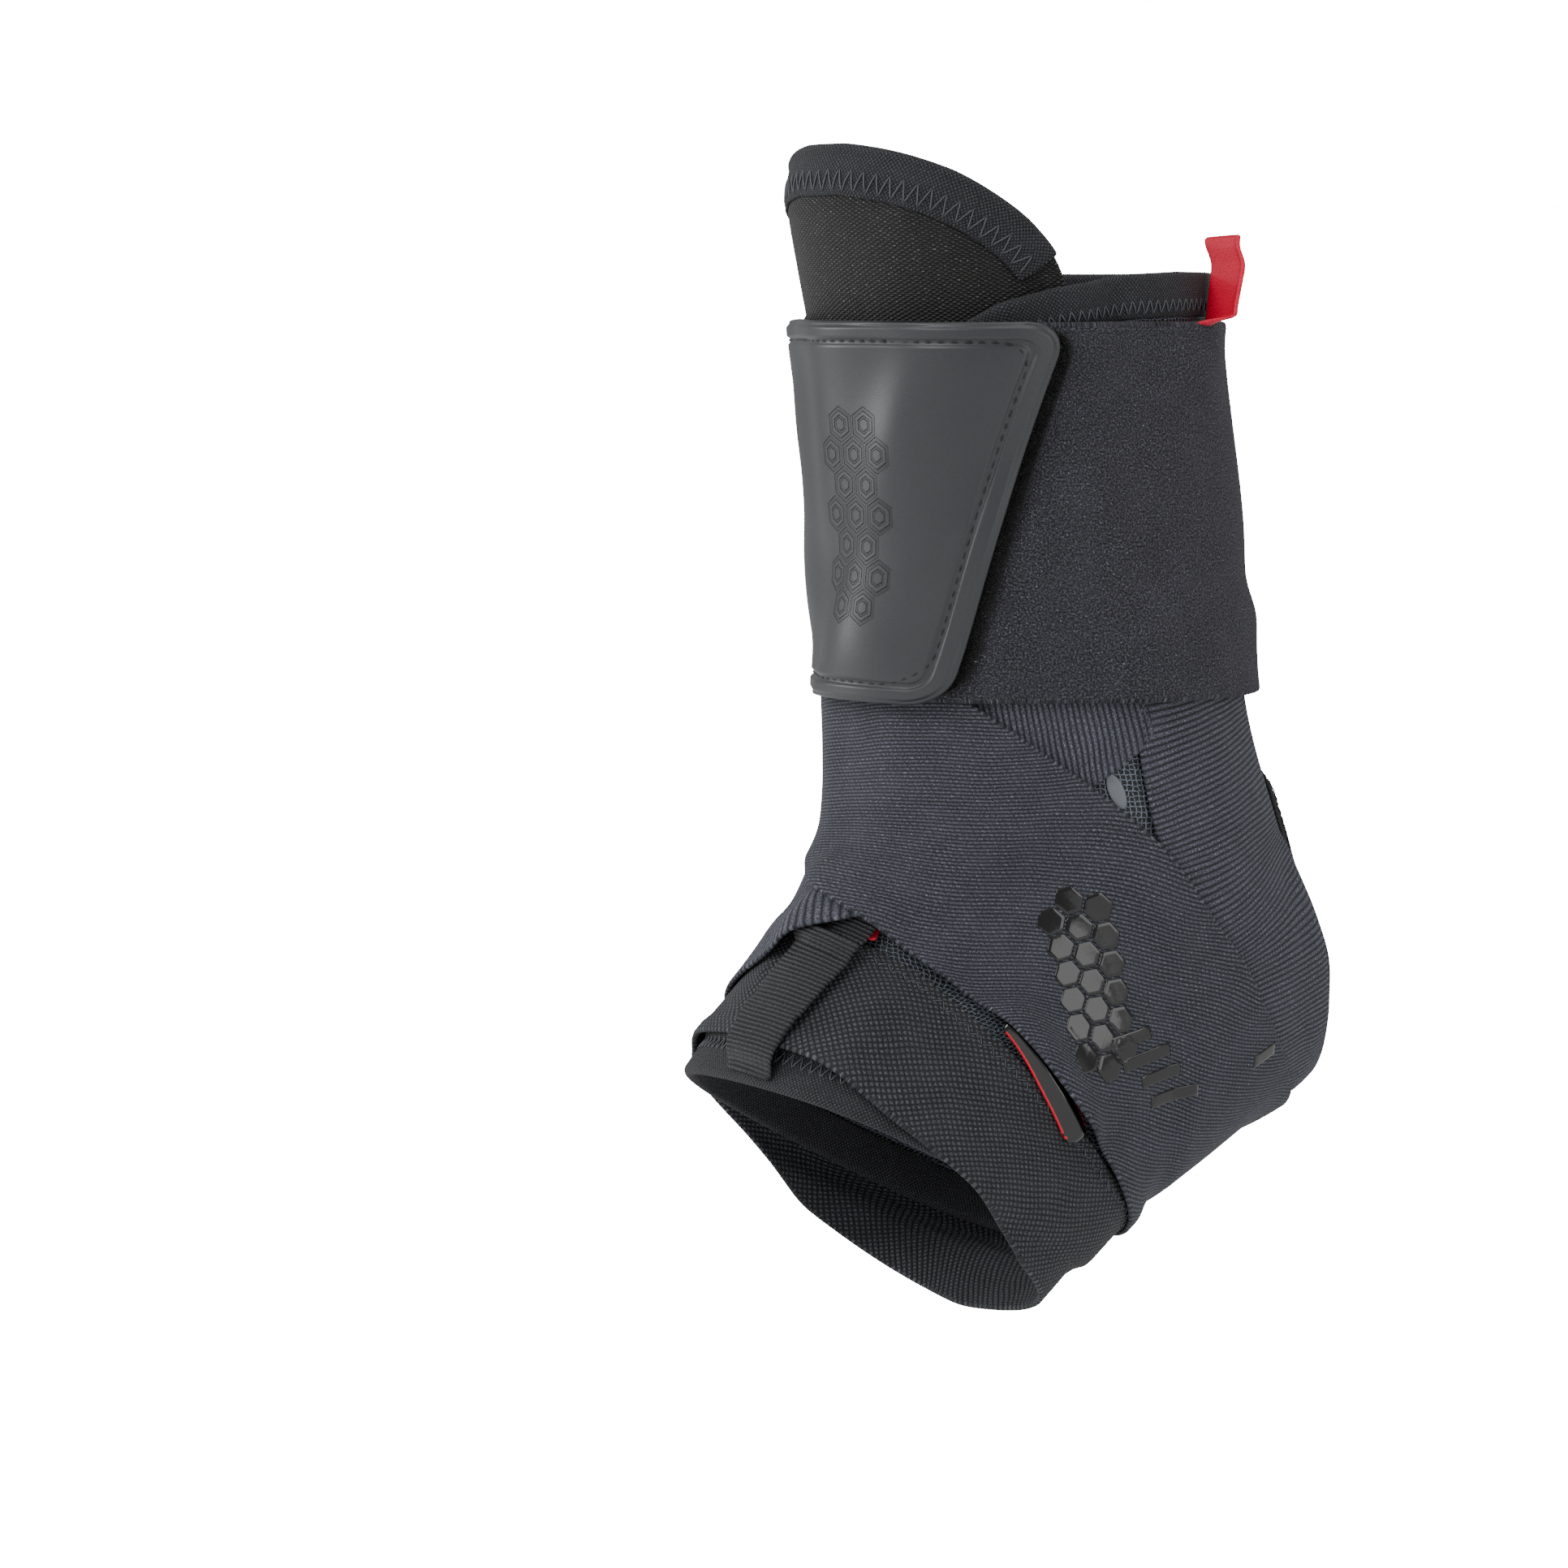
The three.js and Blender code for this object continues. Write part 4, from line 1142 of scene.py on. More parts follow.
@dataclass(frozen=True)
class Binding:
    """A tape folded round a cloth's edge and sewn with a zigzag thread.

    The tape's section is an outer flap, a half circle round the edge and an inner flap. Lengths are
    in mm: the flap's width, the two distances from the edge between which the thread swings, and
    the pitch of a swing and back, then the tape's thickness, the spacing along it, its gap over
    the cloth and the puff of its flap. The least length is in metres, as a sheet may be no shorter.
    The side is 1 or -1, where the cloth lies beside its edge.
    """

    name: str
    cloth: str
    slot: str
    look: str
    side: int
    width: float = 7.0
    closed: bool = False
    thread: str = "grey thread"
    swing: tuple = (3.6, 6.4)
    pitch: float = 2.2
    thickness: float = 0.7
    spacing: float = 1.3
    gap: float = 0.08
    puff: float = 0.25
    flap_points: int = 7
    fold_points: int = 9
    least_length: float = 0.011

    def even_places(self, kit: Kit, path: Array) -> Array:
        """Places at even lengths along the edge.

        Args:
            kit: The shared kit.
            path: Places along the edge.
        Returns:
            Array of (u, v).
        """
        points, track = kit.shape.point(path), path
        if self.closed:
            points, track = closed_up(points), closed_up(path)
            track[-1, 0] += 360 * np.round((track[-2, 0] - track[-1, 0]) / 360)
        run = lengths_along(points)
        even = np.linspace(0, run[-1], int(run[-1] / self.spacing) + 1)
        places = read_along(even, run, track)
        return places[:-1] if self.closed else places

    def build(self, kit: Kit, path: Array) -> None:
        """Builds the tape and its thread.

        Args:
            kit: The shared kit.
            path: Places along the edge.
        """
        shape, gap, flap_points = kit.shape, self.gap, self.flap_points
        places = self.even_places(kit, path)
        points = shape.point(places)
        along = (np.roll(points, -1, axis=0) - np.roll(points, 1, axis=0) if self.closed
                 else np.gradient(points, axis=0))
        normal = shape.frame(places)[2]
        inward = unit(np.cross(normal, along)) * self.side
        heights = lambda spots: (smooth_line(values, 6, self.closed)
                                 for values in kit.layers.near(spots, self.cloth))
        low_edge, top_edge = heights(shape.walk(places, inward, 1.0))
        flap = np.linspace(self.width, 0, flap_points)
        spots = shape.walk(places[:, None].repeat(flap_points, 1), inward[:, None],
                           flap[None].repeat(len(places), 0))
        low, high = heights(spots)
        puff = self.puff * np.sin(np.pi * np.clip(flap / self.width, 0, 1)) ** 0.7
        middle = shape.lifted(places, (low_edge + top_edge) / 2)
        half = (top_edge - low_edge) / 2 + gap

        def skin(more: float, bulge: float) -> Array:
            """One side of the tape.

            Args:
                more: Distance from the cloth in mm.
                bulge: Share of the outer flap's puff.
            Returns:
                Grid of points in mm.
            """
            outer = shape.lifted(spots, high + gap + more + puff * bulge)
            radius = (half + more)[:, None, None]
            angle = np.linspace(0, np.pi, self.fold_points)[1:-1][None, :, None]
            turned = normal[:, None] * np.cos(angle) - inward[:, None] * np.sin(angle)
            inner = shape.lifted(spots, low - gap - more)[:, ::-1]
            return np.concatenate([outer, middle[:, None] + radius * turned, inner], axis=1)

        top, bottom = skin(self.thickness, 1.0), skin(0.0, 0.0)
        if self.closed:
            top, bottom = closed_up(top), closed_up(bottom)
        straight = flap_points // 2
        flat = flat_places(top, straight)
        grids = (top, bottom, flat)
        if self.closed:
            grids = (np.swapaxes(top[:-1], 0, 1), np.swapaxes(bottom[:-1], 0, 1), np.swapaxes(flat, 0, 1))
        piece = shell(self.name + "_tape", *grids, None, self.closed, 2)
        kit.finish(piece, self.slot, self.look, self.name)
        kit.layers.lay(self.name, spots, low, high + self.thickness + gap)
        max(flat[..., 1].max() * MM, self.least_length)
        surface = Patch(top[:, :flap_points], flat[:, straight, 1], self.width - flap)
        Thread(self.slot, self.thread).zigzag(kit, self.name + "_zigzag", surface, (
            self.width - self.swing[1], self.width - self.swing[0]), self.pitch)


@dataclass
class Part:
    """A sub-assembly, which is built with the shared kit."""

    kit: Kit


@dataclass
class Tongue(Part):
    """The padded tongue and the binding round its top."""

    # Share of the way down, and half the width as an angle
    outline: tuple = (
        (0, 0), (0.002, 9), (0.008, 22), (0.016, 32), (0.028, 42), (0.047, 52), (0.07, 61), (0.1, 68),
        (0.14, 70), (0.2, 64), (0.3, 48), (0.45, 40), (0.7, 34), (1, 28),
    )
    end: float = 8.75
    least_foam: float = 1.4
    more_foam: float = 4.2
    foam_starts: float = 0.05
    foam_falls: tuple = (0.1, 0.3)
    tuck: float = 0.1

    def build(self) -> None:
        """Builds both pieces. The foam's section is a power of a parabola, thickest near the top."""
        kit, sizes = self.kit, self.kit.sizes
        top = kit.shape.station_at(sizes.cuff_top + sizes.tongue_above)
        index = np.concatenate([np.linspace(1, 9, 66), np.linspace(9, 13, 62)[1:]])
        share, half = smooth_rows(self.outline, index).T
        x = np.linspace(-1, 1, 91)
        u = x[None] * half[:, None]
        v = np.broadcast_to((top + share * (self.end - top))[:, None], u.shape)
        places = np.stack([u, v], -1)
        high = np.minimum(share / self.foam_starts, 1) * (1 - ease(share, *self.foam_falls))
        foam = self.least_foam + self.more_foam * (np.maximum(0, 1 - x**2) ** 1.5)[None] * high[:, None]
        piece, _ = kit.cloth("tongue", places, "padded_mesh", "padded mesh", foam, [], declare=False)
        hem = kit.shape.station_at(sizes.cuff_top + sizes.hem_above) - self.tuck
        rows = np.flatnonzero(v[:, 0] < hem)
        rim = np.vstack([places[rows, 0][::-1], places[0, 1:-1], places[rows, -1]])
        Binding("tongue_binding", "tongue", "knit_binding", "knit tape", -1, swing=(2.6, 6.5),
                pitch=2.8).build(kit, rim)


@dataclass
class Boot(Part):
    """The mesh boot, open at the front slit and the heel, and its three bindings."""

    # Station, and the slit's or the opening's half angle there
    slit: tuple = ((2.0, 33), (2.3, 30), (3, 24), (4, 20), (6, 15), (8, 12), (8.5, 9))
    opening: tuple = ((4.78, 32), (5.22, 43), (5.8, 46), (6.28, 44), (6.66, 39), (7.1, 32), (7.4, 22))
    # Angle from the front, and how many stations lower the top hem is there
    dip: tuple = ((33, 0.6), (41, 0.3), (52, 0.17), (66, 0.09), (90, 0.02), (110, 0))
    slit_end: float = 8.5
    front_end: float = 9.45
    side: int = 66
    back: int = 32
    half_back_at_hem: float = 30
    thickness: float = 1.0
    dip_length: float = 1.2
    room_by_panel: float = 1.0

    def half_back(self, v: Array, hem: float) -> Array:
        """Half angle of the columns behind the heel.

        Args:
            v: Stations.
            hem: Station of the top hem.
        Returns:
            Angles in degrees.
        """
        stations, half = np.array(self.opening).T
        up = np.interp(v, [hem, stations[0]], [self.half_back_at_hem, half[0]])
        return np.where(v >= stations[0], np.interp(v, stations, half), up)

    def build(self) -> None:
        """Builds the boot and its bindings. The opening is left out of a closed grid of cells."""
        kit, sizes = self.kit, self.kit.sizes
        hem = kit.shape.station_at(sizes.cuff_top + sizes.hem_above)
        high, low = self.opening[0][0], self.opening[-1][0]
        spans = ((hem, high, 66), (high, low, 44), (low, self.slit_end, 18),
                 (self.slit_end, self.front_end, 14))
        v = np.concatenate([np.linspace(a, b, n, endpoint=False) for a, b, n in spans] + [[self.front_end]])
        slit = np.interp(v, *np.array(self.slit).T)
        half = smooth_line(self.half_back(v, hem), 3, False)
        side, back = np.linspace(0, 1, self.side + 1), np.linspace(-1, 1, self.back + 1)
        right = slit[:, None] + (180 - half - slit)[:, None] * side
        rear = 180 + half[:, None] * back[1:-1]
        u = np.hstack([right, rear, 360 - right[:, ::-1]])
        x = np.minimum(1, np.abs(u - 180) / half[:, None])
        fading = np.maximum(0, 1 - (v - hem) / self.dip_length)[:, None]
        dip = np.interp(from_front(u), *np.array(self.dip).T) * fading
        near_top = np.maximum(0, 1 - np.abs(v - high) / 0.5)[:, None]
        near_low = np.maximum(0, 1 - np.abs(v - low) / 0.6)[:, None]
        places = np.stack([u, v[:, None] + dip + (0.3 * near_low - 0.2 * near_top) * (1 - x * x)], -1)
        rows, columns = u.shape
        row, column = np.meshgrid(np.arange(rows - 1), np.arange(columns), indexing="ij")
        first, last, slit_rows = (int(np.argmin(np.abs(v - end))) for end in (high, low, self.slit_end))
        c0, c1 = self.side, self.side + self.back
        opening = (row >= first) & (row < last) & (column >= c0) & (column < c1)
        keep = ~opening & ~((column == columns - 1) & (row < slit_rows))
        beside = (v[:, None] < kit.shape.station_at(sizes.cuff_top) + 0.35) & (from_front(u) < 80)
        kit.cloth("boot_body", places, "boot_mesh", "boot mesh", self.thickness, ["tongue"], keep=keep,
                  wrap=True, folds=0.05, extra=np.where(beside, self.room_by_panel, 0.0),
                  held="stretched", rests=("tongue",), column=self.side // 2)
        loop = np.vstack([places[first, c0:c1], places[first:last, c1], places[last, c0 + 1 : c1 + 1][::-1],
                          places[first + 1 : last + 1, c0][::-1]])
        knit = ("boot_body", "knit_binding", "knit tape")
        Binding("top_hem_binding", *knit, -1).build(kit, places[0, 3:-3])
        Binding("heel_binding", "boot_body", "heel_edge", "edge tape", 1, 5.5, True, "dark thread",
                (3.2, 3.9), 3.0).build(kit, loop)
        Binding("front_hem_binding", *knit, 1, closed=True).build(kit, places[-1])


@dataclass
class Midfoot(Part):
    """The elastic band round the front end, the webbing tab, the keeper, the ribbon and the label."""

    # Angle from the front, and the station of the band's edge there; the webbing's middle line
    top: tuple = ((0, 7.05), (20, 7.1), (40, 7.55), (56, 7.98), (79, 8.48), (111, 8.95), (140, 9.1),
                  (180, 9.15))
    bottom: tuple = ((0, 9.0), (30, 9.1), (54, 9.4), (83, 9.6), (111, 9.9), (180, 10.1))
    webbing: tuple = ((12.4, 7.15), (11.5, 7.45), (9.8, 8.1), (8.2, 8.8), (7, 9.42))
    webbing_width: float = 11.5
    webbing_thickness: float = 0.9
    webbing_rise: float = 1.3
    webbing_span: tuple = (6.9, 2.3)
    band_thickness: float = 1.2
    seam_width: float = 3.0
    ribbon_size: tuple = (17, 5, 0.7)
    keeper_height: float = 8
    label_size: tuple = (24, 5.0)
    label_rise: tuple = (0.7, 1.6)
    label_edge: float = 0.42
    below: tuple = ("tongue", "boot_body", "front_hem_binding", "midfoot_band")

    def build(self) -> None:
        """Builds the pieces from the inside out."""
        kit, below = self.kit, [*self.below]
        u = np.linspace(0, 360, 201)[:-1]
        top, bottom = (smooth_line(np.interp(from_front(u), *np.array(table).T), 8, True)
                       for table in (self.top, self.bottom))
        t = np.linspace(0, 1, 40)[:, None]
        places = np.stack([np.broadcast_to(u, (40, 200)), top * (1 - t) + bottom * t], -1)
        kit.cloth("midfoot_band", places, "elastic", "coarse elastic", self.band_thickness,
                  below[:-1], wrap=True, folds=0.12, held="stretched", column=43)
        rim, inside = (kit.on_top(places[row], "midfoot_band") for row in (2, 5))
        sew = Patch(np.stack([rim, inside], 1), lengths_along(rim), np.array([0.0, self.seam_width]))
        Thread("elastic", radius=0.13).zigzag(kit, "band_zigzag", sew, (0.2, 2.6), 3.2, 12.0, 150.0)
        small = {"folds": 0.0, "declare": False}
        length, width, thickness = self.ribbon_size
        ribbon = strip_places(kit, kit.straight([-6, 6.86], [14, 6.78], length), width, 0.6, 8)
        kit.cloth("red_ribbon", ribbon, "red_tab", "red tape", thickness, below, **small)
        webbing = ("webbing", "webbing", self.webbing_thickness)
        keeper = kit.straight([14, 6.3], [12, 6.95], self.keeper_height)
        keeper = strip_places(kit, keeper, self.webbing_width, 0.5, 20)
        kit.cloth("webbing_keeper", keeper, *webbing, [*below, "red_ribbon"], **small)
        tab = strip_places(kit, self.webbing, self.webbing_width, 0.6, 20)
        start, span = self.webbing_span
        rise = self.webbing_rise * np.sin(np.pi * np.clip((tab[..., 1] - start) / span, 0, 1))
        kit.cloth("pull_tab_webbing", tab, *webbing, [*below, "red_ribbon", "webbing_keeper"], extra=rise,
                  folds=0.0, rests=("midfoot_band",))
        length, width = self.label_size
        label = strip_places(kit, kit.straight([61, 7.76], [84, 8.5], length), width, 0.6, 14)
        least, more = self.label_rise
        round_top = least + more * (1 - np.linspace(-1, 1, label.shape[1]) ** 2)
        kit.cloth("side_label", label, "label", "label gloss", np.broadcast_to(round_top, label.shape[:2]),
                  below, **small)
        for k, column in enumerate((0, -1)):
            points = kit.on_top(label[:, column], "side_label", -0.4)
            normals = kit.shape.frame(label[:, column])[2]
            trim = tubes(f"label_edge_{k}", points[None], normals[None], self.label_edge)
            kit.finish(trim, "label", "red edge")


@dataclass
class Straps(Part):
    """The two crossing straps and their glossy ends."""

    # Middle lines of the straps, as places (u, v)
    inner: tuple = (
        (98, 3.18), (80, 3.43), (63, 3.70), (46, 3.93), (29, 4.16), (13, 4.42), (-1, 4.83), (-13, 5.36),
        (-24, 5.94), (-35, 6.52), (-48, 7.06), (-63, 7.42), (-79, 7.70), (-96, 7.95), (-114, 8.18),
        (-135, 8.34), (-157, 8.38), (-180, 8.30), (-202, 8.08), (-221, 7.74), (-236, 7.28), (-247, 6.65),
        (-253, 6.00), (-254.5, 5.25), (-252.5, 4.5), (-249.5, 3.5),
    )
    outer: tuple = (
        (-60, 3.66), (-34, 4.10), (-9, 4.42), (12, 4.70), (28, 5.04), (43, 5.50), (60, 6.12), (79, 6.93),
        (95, 7.50), (113, 7.99), (134, 8.29), (157, 8.38), (180, 8.32), (202, 8.10), (221, 7.73),
        (236, 7.25), (246, 6.65), (251, 6.00), (252, 5.25), (250.5, 4.5), (248.5, 3.5),
    )
    below: tuple = (*Midfoot.below, "tongue_binding", "top_hem_binding", "heel_binding", "red_ribbon",
                    "webbing_keeper", "pull_tab_webbing", "side_label")
    thickness: float = 1.0
    narrows: tuple = (0.55, 0.85)
    inner_start: tuple = (16, 11)
    end_length: float = 15
    end_inset: float = 2

    def build(self) -> Patch:
        """Builds straps and ends.

        Returns:
            The outer strap's surface.
        """
        kit, sizes, below = self.kit, self.kit.sizes, [*self.below]
        narrow = lambda t: 1 - (1 - sizes.strap_taper) * ease(t, *self.narrows)
        strap = {"width": sizes.strap_width, "step": 1.1, "across": 42, "width_at": narrow}
        start, slant = self.inner_start
        inner = strip_places(kit, self.inner, start=start, slant=slant, **strap)
        outer = strip_places(kit, self.outer, **strap)
        kept_tight = {"held": "stretched", "folds": 0.15, "smooth": 3}
        kit.cloth("strap_inner", inner, "strap_twill", "ribbed twill", self.thickness, below, **kept_tight)
        below.append("strap_inner")
        _, surface = kit.cloth("strap_outer", outer, "strap_twill", "twill", self.thickness, below,
                               **kept_tight)
        below.append("strap_outer")
        for name, path, lean in (("end_tab_lateral", self.inner, 1), ("end_tab_medial", self.outer, -1)):
            total = path_line(kit, path)[1][-1]
            end = strip_places(kit, path, sizes.strap_width * sizes.strap_taper - self.end_inset, 0.8, 40,
                               start=total - self.end_length, slant=self.end_inset * lean,
                               stop=self.end_inset)
            kit.cloth(name, end, "strap_end", "strap end gloss", self.thickness, below, folds=0.0,
                      declare=False)
        return surface


@dataclass
class Cuff(Part):
    """The cuff with its hook tape, rubber panel and red tab. Angles are in degrees, lengths in mm."""

    below: tuple = (*Straps.below, "strap_inner", "strap_outer", "end_tab_lateral")
    round_share: float = 0.56
    panel_start: float = -60
    panel_top: float = 66
    panel_bottom: float = 31
    panel_over: float = 0.7
    panel_thickness: float = 1.75
    corner: float = 7.0
    hook_show: float = 3.0
    hook_width: float = 26
    hook_thickness: float = 0.9
    hook_fibre: tuple = (0.35, 0.95, 0.05)
    hook_fibres_reach: float = 4.2
    thickness: float = 1.5
    span: tuple = (-2, 312)
    rim_fall: float = 0.55
    groove_fall: tuple = (0.6, 3.0, 3.6)
    groove_rise: tuple = (0.45, 4.4, 5.0)
    tab_size: tuple = (25, 7.5, 1.0)
    tab_out: float = 8.0
    tab_below: float = 7
    groove_inset: float = 4.0
    tab_turn: tuple = (0.26, 0.34)
    tab_lying: float = 1.5
    fibres: int = 5200

    @property
    def round(self) -> float:
        """Radius of the cuff where its angles are turned into lengths."""
        return self.round_share * self.kit.sizes.ankle_width

    @property
    def panel_height(self) -> float:
        """Height of the panel, which is a little more than the cuff's."""
        return self.kit.sizes.cuff_height + 2 * self.panel_over

    def angle(self, length: Array | float) -> Array | float:
        """Angle round the cuff of a length."""
        return np.degrees(length / self.round)

    def edge(self, share: Array) -> Array:
        """Angle of the panel's slanted edge, a straight line with a circle's arc at both corners.

        Args:
            share: Share of the panel's height, from its top.
        Returns:
            Angles in degrees.
        """
        reach = np.minimum(share, 1 - share) * self.kit.sizes.cuff_height
        inside = np.maximum(0, self.corner - reach)
        back = self.corner - np.sqrt(np.maximum(self.corner**2 - inside**2, 0))
        straight = self.panel_top + (self.panel_bottom - self.panel_top) * share
        return straight - self.angle(back)

    def build(self) -> None:
        """Builds the pieces from the inside out."""
        kit, sizes = self.kit, self.kit.sizes
        top, bottom = (kit.shape.station_at(z) for z in (sizes.cuff_top, sizes.cuff_bottom))
        below = [*self.below]
        self.back_tab(below)
        below += ["end_tab_medial", "back_tab"]
        t, u = np.meshgrid(np.linspace(0, 1, 64), np.linspace(*self.span, 200), indexing="ij")
        _, cloth = kit.cloth("cuff", np.stack([u, top + (bottom - top) * t], -1), "loop_cloth", "loop cloth",
                             self.thickness, below, held="stretched", smooth=10)
        line = np.linspace(cloth.columns[0] + 2, cloth.columns[-1] - 2, 400)
        point, normal = cloth.at(np.full(400, 0.7), line)
        Thread("loop_cloth", radius=0.12).running(kit, "cuff_top_stitches", point, normal, 0.7, 0.7)
        below.append("cuff")
        self.hook(below)
        below.append("hook_tape")
        self.panel(below)

    def back_tab(self, below: list[str]) -> None:
        """Builds the red tab, which lies flat and then turns out. The cuff lies on its flat part only.

        Args:
            below: Names of the layers below.
        """
        kit, (length, width, thickness) = self.kit, self.tab_size
        low = kit.shape.station_at(kit.sizes.cuff_top - self.tab_below)
        tab = strip_places(kit, kit.straight([115, low], [131, low - 0.9], length), width, 0.5, 14,
                           width_at=lambda t: 1 - 0.5 * ease(t, *self.tab_turn))
        rows, columns = (np.linspace(0, 1, count) for count in tab.shape[:2])
        kit.cloth("back_tab", tab, "red_tab", "red tape", thickness, below, folds=0.0, declare=False,
                  extra=self.tab_out * (ease(rows, *self.tab_turn)[:, None] * columns), smooth=4)
        points, tops, bottoms = kit.layers.laid["back_tab"]
        lying = tops < tops.min() + self.tab_lying
        kit.layers.laid["back_tab"] = points[lying], tops[lying], bottoms[lying]

    def rows(self) -> tuple[Array, Callable[[Array], Array]]:
        """Rows of the hook tape and the panel, closer together at the top and the bottom.

        Returns:
            Shares of the way down, and the function that gives a share's station.
        """
        kit, sizes = self.kit, self.kit.sizes
        first = kit.shape.station_at(sizes.cuff_top + self.panel_over)
        last = kit.shape.station_at(sizes.cuff_bottom - self.panel_over)
        t = np.linspace(0, 1, 140)
        share = 0.45 * t + 0.55 * (0.5 - 0.5 * np.cos(np.pi * t))
        return share, lambda s: first + (last - first) * s

    def hook(self, below: list[str]) -> None:
        """Builds the hook tape and the short curled fibres on the strip of it that shows.

        Args:
            below: Names of the layers below.
        """
        kit, (share, station) = self.kit, self.rows()
        hook_edge = self.edge(share) + self.angle(self.hook_show)
        u = hook_edge[:, None] - self.angle(self.hook_width) * np.linspace(1, 0, 46)
        places = np.stack([u, np.broadcast_to(station(0.02 + 0.96 * share)[:, None], u.shape)], -1)
        _, tape = kit.cloth("hook_tape", places, "hook_fuzz", "hook fuzz", self.hook_thickness, below,
                            folds=0.0, held="stretched")
        source, count = np.random.default_rng(SEED), self.fibres
        shortest, longest, radius = self.hook_fibre
        row = source.uniform(0.5, tape.rows[-1] - 0.5, count)
        column = tape.columns[-1] - source.uniform(-0.1, self.hook_fibres_reach, count)
        base, normal = tape.at(row, column)
        lean = unit(source.normal(size=(count, 3)))
        reach = source.uniform(shortest, longest, count)[:, None]
        t = np.linspace(0, 1, 4)[None, :, None]
        paths = base[:, None] + normal[:, None] * (reach * 0.8)[:, None] * t + (
            lean[:, None] * reach[:, None] * t**2)
        fibres = tubes("hook_fibres", paths, np.broadcast_to(normal[:, None], paths.shape), radius, 3)
        kit.finish(fibres, "hook_fuzz", "dark thread")

    def from_edge(self, u: Array, share: Array) -> Array:
        """Distance from the panel's top, slanted and bottom edges, round at the two corners.

        Args:
            u: Grid of angles.
            share: Shares of the panel's height.
        Returns:
            Grid of distances in mm.
        """
        height, reach = self.panel_height, self.corner
        x = np.radians(u) * self.round
        slope = (self.panel_top - self.panel_bottom) * np.radians(1) * self.round / height
        to_top = share[:, None] * height + 0 * x
        to_low = height - to_top
        to_slant = (np.radians(self.panel_top) * self.round - slope * to_top - x) / np.hypot(1, slope)
        round_off = lambda a, b: reach - np.hypot(np.maximum(reach - a, 0), np.maximum(reach - b, 0))
        away = np.minimum(np.minimum(to_top, to_low), to_slant)
        corner = np.minimum(round_off(to_top, to_slant), round_off(to_low, to_slant))
        return np.where(corner < reach, np.minimum(away, np.maximum(corner, 0)), away)

    def panel(self, below: list[str]) -> None:
        """Builds the rubber panel, thinner at its rim and in its stitched groove.

        Args:
            below: Names of the layers below.
        """
        kit, (share, station) = self.kit, self.rows()
        side = np.concatenate([np.linspace(0, 0.9, 120, endpoint=False),
                               1 - 0.1 * np.linspace(1, 0, 46) ** 1.5])
        u = self.panel_start + (self.edge(share)[:, None] - self.panel_start) * side
        places = np.stack([u, np.broadcast_to(station(share)[:, None], u.shape)], -1)
        away = self.from_edge(u, share)
        (fall, *falling), (rise, *rising) = self.groove_fall, self.groove_rise
        rim = self.rim_fall * (1 - ease(away, 0.0, 1.0)) + fall * ease(away, *falling) - (
            rise * ease(away, *rising))
        piece, _ = kit.cloth("closure_panel", places, "panel_rubber", "panel rubber",
                             self.panel_thickness - rim, below, folds=0.05, declare=False, column=0,
                             smooth=90)
        self.groove(places)

    def groove(self, places: Array) -> None:
        """Sews the panel along its groove, inside its top, slanted and bottom edges.

        Args:
            places: The panel's grid of places.
        """
        kit, start = self.kit, self.panel_start + 1
        first, last = places[0, 0, 1], places[-1, 0, 1]
        inset = self.groove_inset / self.panel_height
        corner = self.angle(self.corner + 1)
        top_u = np.linspace(start, self.panel_top - corner, 90)
        mid_share = np.linspace(inset + 0.05, 1 - inset - 0.05, 90)
        mid_u = (self.panel_top + (self.panel_bottom - self.panel_top) * mid_share
                 - self.angle(self.groove_inset * 1.06))
        low_u = np.linspace(self.panel_bottom - corner, start, 70)
        path_u = np.concatenate([top_u, mid_u, low_u])
        path_s = np.concatenate([np.full(90, inset), mid_share, np.full(70, 1 - inset)])
        path_u, path_s = (smooth_line(values, 10, False) for values in (path_u, path_s))
        spots = np.stack([path_u, first + (last - first) * path_s], -1)
        points, normals = kit.on_top(spots, "closure_panel", -0.25), kit.shape.frame(spots)[2]
        thread = Thread("panel_rubber", "dark thread", 0.2)
        thread.running(kit, "panel_stitches", points, normals, 2.1, 0.45)


